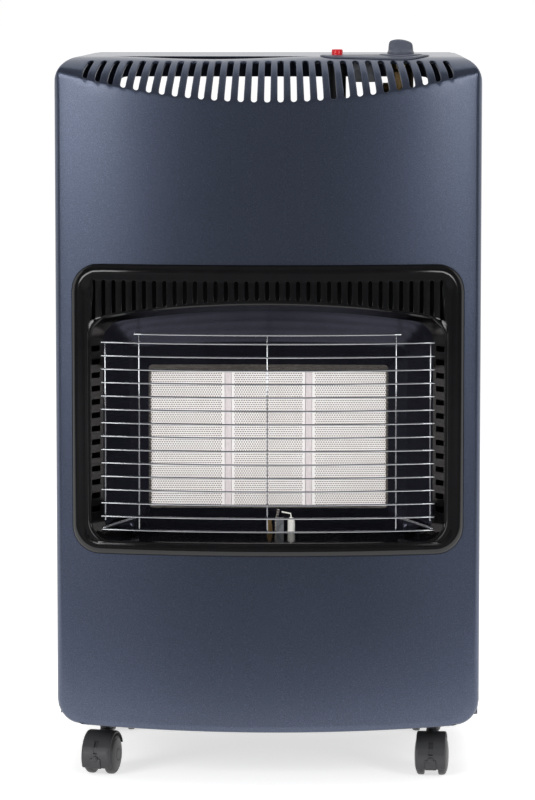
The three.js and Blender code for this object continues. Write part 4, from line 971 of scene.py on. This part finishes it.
def tube(path, radius, sides):
    """Rings of a round bar along a path, with domed ends."""
    rings = []
    for i, p in enumerate(path):
        p = Vector(p)
        before = Vector(path[max(i - 1, 0)])
        after = Vector(path[min(i + 1, len(path) - 1)])
        axis = (after - before).normalized()
        level = Vector((0, 0, 1)) if abs(axis.z) < 0.9 else Vector((1, 0, 0))
        side = axis.cross(level).normalized()
        up = side.cross(axis)
        ring = []
        for k in range(sides):
            a = 2 * math.pi * k / sides
            ring.append(tuple(p + radius * (math.cos(a) * side + math.sin(a) * up)))
        rings.append(ring)
    for end, inner in ((0, 1), (-1, -2)):
        tip = Vector(path[end])
        out = (tip - Vector(path[inner])).normalized()
        caps = [
            [tuple(tip + (Vector(q) - tip) * scale + out * radius * reach) for q in rings[end]]
            for scale, reach in ((0.75, 0.62), (0.1, 0.9))
        ]
        rings = (caps[::-1] + rings) if end == 0 else (rings + caps)
    return rings


def tubes(bars):
    """Points and faces of bars, each a (path, radius, sides)."""
    return merge([capped(tube(*bar)) for bar in bars])


def guard_y(x):
    return bow(x) + GUARD_SET_BACK


def fire_guard():
    lowest = GUARD_TOP - (GUARD_WIRES - 1) * GUARD_PITCH

    def wire(half, z):
        reach = half - WIRE_R
        path = [(reach * (k / 14 - 1), guard_y(reach * (k / 14 - 1)), z) for k in range(29)]
        return path, WIRE_FINE, 10

    paths = [wire(GUARD_HALF, GUARD_TOP - k * GUARD_PITCH) for k in range(GUARD_WIRES)]
    paths.append(wire(GUARD_SHORT_HALF, GUARD_SHORT_Z))

    def upright(x, z0, z1):
        y = guard_y(x) + 1.6 * WIRE_R
        return [(x, y, z0 + WIRE_R), (x, y, (z0 + z1) / 2), (x, y, z1 - WIRE_R)], UPRIGHT_R, 10

    short_end = lowest + GUARD_PITCH - 5
    for side in (-1, 1):
        paths.append(upright(side * GUARD_OUTER_X, short_end, GUARD_TOP + 1.5))
        paths.append(upright(side * GUARD_INNER_X, lowest - 1.5, GUARD_SHORT_Z + 1.5))
    paths.append(upright(0, lowest - 1.5, GUARD_SHORT_Z + 1.5))
    add("guard_wires", tubes(paths), "chrome", nodes=("fire_guard",), weld=0)
    for side, end in ((-1, "left"), (1, "right")):
        x = GUARD_HALF - 3
        start = Vector((side * x, guard_y(x) + WIRE_R + STAY_R, lowest + 1.2))
        finish = Vector((side * 131, KNEE_Y - 0.1, lowest + 8))
        path = [tuple(start.lerp(finish, k / 8)) for k in range(9)]
        rod = capped(tube(path, STAY_R, 14))
        add(f"stay_rod_{end}", rod, "chrome", nodes=(f"guard_stay_{end}",), weld=0)


# ---- Reflector ----


def opening_ring(o, y, marks):
    """Ring of opening o, clockwise from the left end of its arch, with marks along its foot."""
    w, r, f, low, radius = (o[key] for key in ("half", "top", "foot", "bottom", "arch"))
    corner_x, corner_z = corner_of(o)
    lean = math.asin(corner_x / (radius - r))
    q = math.pi / 2
    ring = arc(-corner_x, corner_z, r, 2 * q, q + lean, 8)
    ring += arc(0, o["crown"] - radius, radius, q + lean, q - lean, 16, first=1)
    ring += arc(corner_x, corner_z, r, q - lean, 0, 8, first=1)
    ring += [(w, corner_z + (low + f - corner_z) * k / 10) for k in range(1, 10)]
    ring += arc(w - f, low + f, f, 0, -q, 8)
    ring += [(x, low) for x in marks]
    ring += arc(f - w, low + f, f, -q, -2 * q, 8)
    ring += [(-w, low + f + (corner_z - low - f) * k / 10) for k in range(1, 10)]
    return [(x, y, z) for x, z in ring]


def blend_rings(a, b, t):
    return [tuple(p + (q - p) * t for p, q in zip(u, v)) for u, v in zip(a, b)]


def reflector():
    grip = 2.2
    end = {"half": BURNER_HALF + grip, "bottom": BURNER_BOTTOM - grip, "crown": FRAME_TOP - 1}
    end |= {"arch": 20000, "top": 4, "foot": 4}
    marks = [100, 75, 55, 36, 24, 10, -9, -30, -55, -75, -100]
    pilot_edge = 36
    front_y, back_y = FUNNEL_BACK + 0.3, 24.0
    throat = opening_ring(THROAT, front_y, marks)
    knee = opening_ring(KNEE, KNEE_Y, marks)
    back = opening_ring(end, back_y, marks)
    depth = KNEE_Y - front_y

    def bend(before, after, t):
        """A ring of the rounded knee, between one before it and one after it."""
        return blend_rings(blend_rings(throat, knee, before), blend_rings(knee, back, after), t)

    rows = [blend_rings(throat, knee, t) for t in (0, 2 / depth, 0.3, 0.5, 0.7, 0.88)]
    rows.append(bend((depth - 1) / depth, 0.02, 0.2))
    rows.append(blend_rings(throat, knee, 0.965))
    rows.append(bend(0.99, 0.08, 0.5))
    rows += [blend_rings(knee, back, t) for t in (0.16, 0.3, 0.5, 0.75, 1.0)]
    first = next(i for i, p in enumerate(throat) if abs(p[0] - pilot_edge) < 1e-6)

    # the floor is open over the pilot set
    def skip(r, c):
        return 1 <= r < 6 and first <= c < first + 3

    skin = grid(rows, skip, closed=True)
    # the funnel's polished steel is painted nearly black: painted shade and painted dark
    # reflections of the recess
    funnel = add("reflector_funnel", skin, "polished_steel", nodes=("reflector",))
    sheet_metal(funnel, REFLECTOR_SHEET)


# ---- Controls ----


def top_surface(y):
    """Height of the cabinet's top at y, over the rolled shoulder."""
    if y >= ROLL_Y:
        return HEIGHT
    return ROLL_Z + math.sqrt(ROLL_R**2 - (ROLL_Y - y) ** 2)


def lathe(profile, sides, spot):
    """A turned solid about a vertical axis through spot; profile is (radius, height)."""
    return capped([[(x, y, z) for x, y in circle(*spot, r, sides)] for r, z in profile])


def control_knob():
    """A round skirt that draws in to a finger bar with a humped, sloping top."""
    # height, half length, half width and power of the superellipse at each level
    levels = [(0.0, 12.6, 12.6, 2.0), (0.25, 13.1, 13.1, 2.0), (1.2, 13.3, 13.3, 2.0)]
    levels += [(2.9, 13.2, 13.2, 2.0), (3.5, 12.9, 12.8, 2.0), (3.9, 12.6, 11.9, 2.1)]
    levels += [(4.3, 12.45, 9.6, 2.3), (4.9, 12.35, 7.4, 2.6), (6.0, 12.3, 6.1, 2.9)]
    levels += [(8.5, 12.1, 5.4, 3.1), (11.5, 11.85, 4.9, 3.2), (13.3, 11.5, 4.6, 3.2)]
    levels += [(14.3, 11.0, 4.1, 3.1), (14.9, 10.2, 3.4, 3.0), (15.25, 8.8, 2.4, 2.8)]
    levels += [(15.4, 6.0, 1.3, 2.6), (15.4, 2.4, 0.5, 2.4)]
    sides, crest, most_drop = 48, -2.5, 3.2
    bar_foot, bar_height = 6, 9.4
    rings = []
    for z, a, b, n in levels:
        lift = max(z - bar_foot, 0) / bar_height
        ring = []
        for k in range(sides):
            angle = 2 * math.pi * (k + 0.5) / sides
            c, q = math.cos(angle), math.sin(angle)
            x = a * math.copysign(abs(c) ** (2 / n), c)
            y = b * math.copysign(abs(q) ** (2 / n), q)
            drop = lift * (0.017 if x > crest else 0.02) * (x - crest) ** 2
            ring.append((KNOB_X + x, KNOB_Y + y, KNOB_FOOT + z - min(drop, most_drop)))
        rings.append(ring)
    # the pointer, a low rib at the front of the skirt
    rib, rib_end = [], -6.2
    for x, y, z in ((0.75, -12.7, 2.6), (0.75, -12.6, 3.9), (0.45, -12.3, 4.5)):
        corners = ((-x, y), (x, y), (x, rib_end), (-x, rib_end))
        rib.append([(KNOB_X + u, KNOB_Y + v, KNOB_FOOT + z) for u, v in corners])
    knob = merge([capped(rings), capped(rib)])
    add("knob_grip", knob, "control_plastic", "knob", ("control_knob",), weld=0)


def push_button():
    low, crown = BUTTON_TOP - BUTTON_LENGTH, 1.1
    profile = [(BUTTON_R - 0.5, low)]
    profile += [(BUTTON_R, z) for z in (low + 0.5, low + 8, low + 14, BUTTON_TOP - 1.2)]
    for k in range(1, 6):
        a = math.pi / 2 * k / 5
        r, z = BUTTON_R - crown, BUTTON_TOP - crown
        profile.append((r + crown * math.cos(a), z + crown * math.sin(a)))
    for r, dish in ((3.9, 0.05), (3.3, 0.35), (2.2, 0.6), (0.6, 0.7)):
        profile.append((r, BUTTON_TOP - dish))
    cap = lathe(profile, 40, (BUTTON_X, BUTTON_Y))
    add("button_cap", cap, "red_plastic", "igniter_button", ("piezo_button",), weld=0)


def plate_outline(inset):
    dx, dy = BUTTON_X - KNOB_X, BUTTON_Y - KNOB_Y
    along = math.atan2(dy, dx)
    spread = math.acos((PLATE_R - PLATE_SMALL_R) / math.hypot(dx, dy))
    low, high = along - spread, along + spread
    large = arc(KNOB_X, KNOB_Y, PLATE_R - inset, high - 2 * math.pi, low, 56)
    return large + arc(BUTTON_X, BUTTON_Y, PLATE_SMALL_R - inset, low, high, 30)


def control_plate():
    """A thin moulded plate over the shoulder, with a rolled rim and a ring round the knob."""
    lift, thick, rim, ring_r, below = 0.3, 1.2, 1.0, 21.5, -1.2
    hole, well = KNOB_R + 1, BUTTON_R + 0.6

    def knob_circle(r):
        return circle(KNOB_X, KNOB_Y, r)

    def button_circle(r):
        return circle(BUTTON_X, BUTTON_Y, r, 32)

    def height(x, y, t):
        return top_surface(y) + lift + t

    bm = bmesh.new()
    edges = []
    for outline in (plate_outline(rim), knob_circle(ring_r), button_circle(well + 0.5)):
        ring = [bm.verts.new((x, y, 0)) for x, y in outline]
        edges += [bm.edges.new(pair) for pair in zip(ring, ring[1:] + ring[:1])]
    bmesh.ops.triangle_fill(bm, edges=edges, use_beauty=True)
    for y in (18, 20, 22, 24, 26, 28.5, 31, 34, ROLL_Y, 42, 50):
        geom = bm.verts[:] + bm.edges[:] + bm.faces[:]
        bmesh.ops.bisect_plane(bm, geom=geom, plane_co=(0, y, 0), plane_no=(0, 1, 0))
    bm.verts.index_update()
    points = [(v.co.x, v.co.y, height(v.co.x, v.co.y, thick)) for v in bm.verts]
    faces = [tuple(v.index for v in f.verts) for f in bm.faces]
    bm.free()

    def wall(rows):
        return grid([[(x, y, height(x, y, t)) for x, y in ring] for ring, t in rows], closed=True)

    edge = [(0, 0.0), (0, 0.4), (0.12, 0.75), (0.45, 1.05), (rim, thick)]
    step = [(ring_r, 0), (21.35, 0.5), (20.9, 0.8), (20.2, 0.9), (16.4, 0.9), (15.4, 0.75)]
    step = [(r, thick + up) for r, up in step + [(14.8, 0.4), (hole, -0.2)]] + [(hole, below)]
    seat = [(0.5, thick), (0.15, thick - 0.12), (0, thick - 0.5), (0, below)]
    rim_wall = wall([(plate_outline(d), t) for d, t in edge])
    knob_wall = wall([(knob_circle(r), t) for r, t in step])
    button_wall = wall([(button_circle(well + d), t) for d, t in seat])
    skin = merge([(points, faces), rim_wall, knob_wall, button_wall])
    plate = add("control_fascia", skin, "control_plastic", nodes=("control_plate",), weld=0.02)
    orient(plate, Vector((0, 0, 1)))


# ---- Castors ----


def around_axle(u, r, a):
    """Point at radius r and angle a round the wheels' axle, in the castor's own frame."""
    return (u, r * math.cos(a) - CASTOR_TRAIL, r * math.sin(a) + WHEEL_R)


def hood_fender():
    """A fender over both wheels, grooved down the middle, with a ribbed foot tab."""
    rib_start, rib_pitch = 3.24, 0.045
    stations = [HOOD_START + (2.35 - HOOD_START) * k / 16 for k in range(17)]
    stations += [2.41, 2.43, 2.69, 2.71, 2.94, 2.96, 3.0, 3.02, 3.09, 3.14, 3.17, 3.2]
    stations += [rib_start + rib_pitch * k for k in range(8)] + [HOOD_END - 0.02, HOOD_END]
    half_section = [(u, HOOD_R) for u in (0, 1.5, 1.85, 2.15, 3.4, 5.2, 5.6, 9, 12.6)]
    half_section += [(13.7, 23.9), (14.5, 23.5), (14.9, 22.9), (HOOD_HALF, 22.2)]

    def skin(u, r, a):
        end = min(a - HOOD_START, HOOD_END - a)
        r -= 0.5 * (1 - min(end / 0.04, 1))
        if u < 1.9 and 2.42 < a < 2.97:
            return r - (0.35 if 2.7 < a < 2.95 else 3.6)
        if u < 5.3 and a > 3.19:
            rib = 0.4 if rib_start <= a < 3.5 and round((a - rib_start) / rib_pitch) % 2 else 0.0
            return r + 1.1 + rib
        return r

    rings = []
    for a in stations:
        outer = [(u, skin(u, r, a)) for u, r in half_section]
        section = [(-u, r) for u, r in outer[::-1][:-1]] + outer
        section += [(u, HOOD_INNER_R) for u in (HOOD_HALF, 7, 0, -7, -HOOD_HALF)]
        rings.append([around_axle(u, r, a) for u, r in section])
    return capped(rings)


def hood_lug():
    """The round lug under the groove."""
    sides, middle = 20, math.pi + 0.045
    rings = []
    for r, out in ((3, 23.2), (3, 24.9), (2.75, 25.7), (2.0, 26.2), (1.0, 26.45), (0.2, 26.5)):
        ring = []
        for k in range(sides):
            b = 2 * math.pi * k / sides
            ring.append(around_axle(r * math.cos(b), out, middle + r * math.sin(b) / HOOD_R))
        rings.append(ring)
    return capped(rings)


def hood_web():
    """The web between the wheels, up to the stem's socket."""
    axle_y, reach = -CASTOR_TRAIL, 19.8
    outline = arc(axle_y, WHEEL_R, reach, math.pi / 2, HOOD_END, 12)
    outline += [(axle_y - 6, 11), (axle_y - 3, 10.2), (axle_y + 3, 10.2), (axle_y + 6, 11)]
    outline += [(6.5, 14), (6.9, 17), (6.9, 38), (6.3, 41.5), (4.5, 44)]
    steps = [(-WEB_HALF, 0.6), (-WEB_HALF + 0.25, 0.2), (-WEB_HALF + 0.7, 0)]
    steps += [(-u, d) for u, d in reversed(steps)]
    middle = Vector((-9.0, 24.0))
    rings = []
    for u, inset in steps:
        ring = []
        for v, z in outline:
            p = Vector((v, z))
            p += (middle - p).normalized() * inset
            ring.append((u, p.x, p.y))
        rings.append(ring)
    return capped(rings)


def castor_hood():
    socket = [(5.2, 30), (6.2, 30.4), (6.2, 43.2), (5.9, 43.8), (5.2, 44.05)]
    return merge([hood_fender(), hood_lug(), hood_web(), lathe(socket, 24, (0, 0))])


def castor_wheel(side):
    """Crowned tread, moulded hub face and a domed outer cap over the end of the axle."""
    profile = [(0.4, 15.9), (2.8, 15.9), (2.8, 7.3), (3.2, 7.0), (6.2, 7.0), (6.8, 7.7)]
    profile += [(14.6, 7.7), (15.3, 7.0), (18.6, 7.0), (19.5, 7.35), (19.9, 8.1), (20.0, 9.6)]
    profile += [(19.95, 11.6), (19.7, 12.9), (19.0, 13.9), (17.9, 14.7), (17.4, 14.8)]
    profile += [(17.1, 14.45), (16.8, 14.5), (16.4, 15.2), (14.5, 15.9), (11.5, 16.5), (8.0, 16.85)]
    profile += [(6.6, 16.9), (6.3, 16.55), (6.0, 16.6), (5.6, 17.0), (3.0, 17.1), (0.4, 17.15)]
    sides = 56
    angles = [2 * math.pi * (k + 0.5) / sides for k in range(sides)]
    return capped([[around_axle(side * u, r, a) for a in angles] for r, u in profile])


def castors():
    pieces = [("hood_shell", "castor_hood", "castor", "", castor_hood())]
    for end, side in (("_l", -1), ("_r", 1)):
        pieces.append(("tyre", "castor_wheel", "wheel", end, castor_wheel(side)))
    for spot, (x, y, swivel) in CASTORS.items():
        c, q = math.cos(math.radians(swivel)), math.sin(math.radians(swivel))
        for name, node, body, end, (points, faces) in pieces:
            turned = [(x + u * c - v * q, y + u * q + v * c, z) for u, v, z in points]
            at = f"_{spot}{end}"
            skin, nodes = (turned, faces), (node + at,)
            clean_normals(add(name + at, skin, "castor_plastic", body + at, nodes, weld=0))


# ---- CAD nodes that keep their own shape ----


def soften(finish, edge, *names):
    """A procedural finish and edges rounded by edge millimetres for CAD nodes."""
    for name in names:
        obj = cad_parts[name]
        for slot in obj.material_slots:
            slot.material = FINISH[finish]
        if not obj.material_slots:
            obj.data.materials.append(FINISH[finish])
        if edge:
            modifier(obj, "WELD", merge_threshold=0.00001)
            modifier(
                obj,
                "BEVEL",
                width=edge / 1000,
                segments=2,
                limit_method="ANGLE",
                angle_limit=math.radians(38),
                miter_outer="MITER_ARC",
                use_clamp_overlap=True,
            )
            modifier(obj, "WEIGHTED_NORMAL", keep_sharp=True)


def cad_nodes():
    soften("paint", 0.3, "body_wrapper", "rear_frame")
    soften("paint", 0.4, "rear_cover")
    soften("black_plastic", 0.3, "base_tray")
    soften("stainless", 0.35, "burner_frame")
    soften("aluminium", 0.2, "burner_box", *(f"mixing_tube_{side}" for side in PLAQUES))
    soften("galvanised", 0.2, "injector_rail", "valve_bracket", "pilot_bracket")
    # painted shade: the heat shield is painted dark grey for the shade it lies in inside the
    # cabinet
    soften("painted_shade_metal", 0.2, "heat_shield")
    for side in PLAQUES:
        soften(f"ceramic_{side}", 0.25, f"ceramic_plaque_{side}")
    soften("fibre", 0.3, "plaque_gasket_left", "plaque_gasket_right")
    soften("brass", 0.2, "pilot_burner", "gas_valve", "hose_nozzle")
    soften("stainless", 0.15, "thermocouple", "valve_spindle", "valve_plunger")
    soften("porcelain", 0.15, "ignition_electrode")
    soften("black_plastic", 0.2, "piezo_igniter", "piezo_nut")
    soften("aluminium", 0, "pilot_pipe", *(f"gas_pipe_{side}" for side in PLAQUES))
    for name in CASTORS:
        # painted shade: the stems and axles get near-black steel for the shade under the cabinet
        soften("steel", 0.2, f"castor_stem_{name}", f"castor_axle_{name}")


# ---- Studio ----


def ray_test(tree):
    """1 for camera, glossy and transmission rays."""
    path = tree.nodes.new("ShaderNodeLightPath")
    total = path.outputs["Is Camera Ray"]
    for name in ("Is Glossy Ray", "Is Transmission Ray"):
        node = tree.nodes.new("ShaderNodeMath")
        node.operation = "MAXIMUM"
        tree.links.new(total, node.inputs[0])
        tree.links.new(path.outputs[name], node.inputs[1])
        total = node.outputs["Value"]
    return total


def backdrop():
    world = bpy.data.worlds.new("studio")
    bpy.context.scene.world = world
    world.use_nodes = True
    tree = world.node_tree
    background = tree.nodes["Background"]
    background.inputs["Color"].default_value = (*WHITE, 1)
    strength = tree.nodes.new("ShaderNodeMapRange")
    strength.inputs["To Min"].default_value = 0.5
    strength.inputs["To Max"].default_value = 1.0
    tree.links.new(ray_test(tree), strength.inputs["Value"])
    tree.links.new(strength.outputs["Result"], background.inputs["Strength"])


def floor():
    s = Shader("floor", Base_Color=(0.8, 0.8, 0.8), Roughness=0.9, Specular_IOR_Level=0)
    s.put(WHITE, s.surface.inputs["Emission Color"])
    glow = s.math("MULTIPLY", ray_test(s.tree), 0.64)
    s.put(glow, s.surface.inputs["Emission Strength"])
    size = 100
    corners = [(-size, -size, 0), (size, -size, 0), (size, size, 0), (-size, size, 0)]
    stage_mesh("floor", corners, [(0, 1, 2, 3)], s.material)


def flag():
    """Dark walls, floor and roof in front of the object, seen only in what it reflects."""
    s = Shader("flag", Base_Color=(0.17, 0.17, 0.18), Roughness=1, Specular_IOR_Level=0)
    wide, near, far, side, low, high, roof = 5, -0.55, -4.8, -0.8, 0.01, 3.6, 0.35
    corners = [(-wide, near, low), (wide, near, low), (wide, far, low), (-wide, far, low)]
    corners += [(wide, far, high), (-wide, far, high), (wide, roof, high), (-wide, roof, high)]
    corners += [(-wide, side, low), (-wide, side, high), (wide, side, low), (wide, side, high)]
    faces = [(0, 1, 2, 3), (3, 2, 4, 5), (5, 4, 6, 7), (3, 5, 9, 8), (2, 10, 11, 4)]
    return stage_mesh("flag", corners, faces, s.material)


def soft_box(name, x0, x1, strength):
    s = Shader(name, Base_Color=(0, 0, 0), Emission_Color=WHITE, Emission_Strength=strength)
    y, low, high = -3.5, 0.6, 1.45
    corners = [(x0, y, low), (x1, y, low), (x1, y, high), (x0, y, high)]
    return stage_mesh(name, corners, [(0, 1, 2, 3)], s.material)


def lamp(name, location, target, size, power):
    data = bpy.data.lights.new(name, "AREA")
    data.shape = "RECTANGLE"
    data.size, data.size_y = size
    data.energy = power
    light = bpy.data.objects.new(name, data)
    light.location = location
    direction = Vector(target) - Vector(location)
    light.rotation_euler = direction.to_track_quat("-Z", "Y").to_euler()
    light.visible_glossy = False
    bpy.context.scene.collection.objects.link(light)


def studio():
    bpy.context.scene.view_settings.view_transform = "Standard"
    backdrop()
    floor()
    # the flag and the soft boxes shape the reflections only; the lamps do the lighting
    left = soft_box("soft_box_left", -4.4, -1.9, 7.2)
    right = soft_box("soft_box_right", 1.95, 3.6, 6.6)
    for item in (flag(), left, right):
        item.visible_camera = False
        item.visible_diffuse = False
        item.visible_shadow = False
    lamp("overhead", (0.2, 0.1, 3.4), (0, 0, 0.4), (2.6, 2.6), 42)
    lamp("key", (-2.45, -3.3, 1.45), (0, -0.1, 0.4), (1.5, 1.4), 80)
    lamp("fill", (2.35, -3.3, 1.5), (0, -0.1, 0.4), (1.1, 1.4), 46)


def stage_mesh(name, corners, faces, material):
    mesh = bpy.data.meshes.new(name)
    mesh.from_pydata(corners, [], faces)
    mesh.materials.append(material)
    obj = bpy.data.objects.new(name, mesh)
    bpy.context.scene.collection.objects.link(obj)
    return obj


def camera():
    data = bpy.data.cameras.new("camera")
    data.sensor_width = 36
    data.sensor_fit = "AUTO"
    data.lens = LENS
    data.clip_end = 600
    obj = bpy.data.objects.new("camera", data)
    obj.location = CAMERA_SPOT
    obj.rotation_euler = (math.radians(CAMERA_TILT), 0, math.radians(CAMERA_TURN))
    bpy.context.scene.collection.objects.link(obj)
    bpy.context.scene.camera = obj


camera()
studio()
cad_nodes()
front_panel()
bezel()
fire_guard()
reflector()
control_plate()
control_knob()
push_button()
castors()
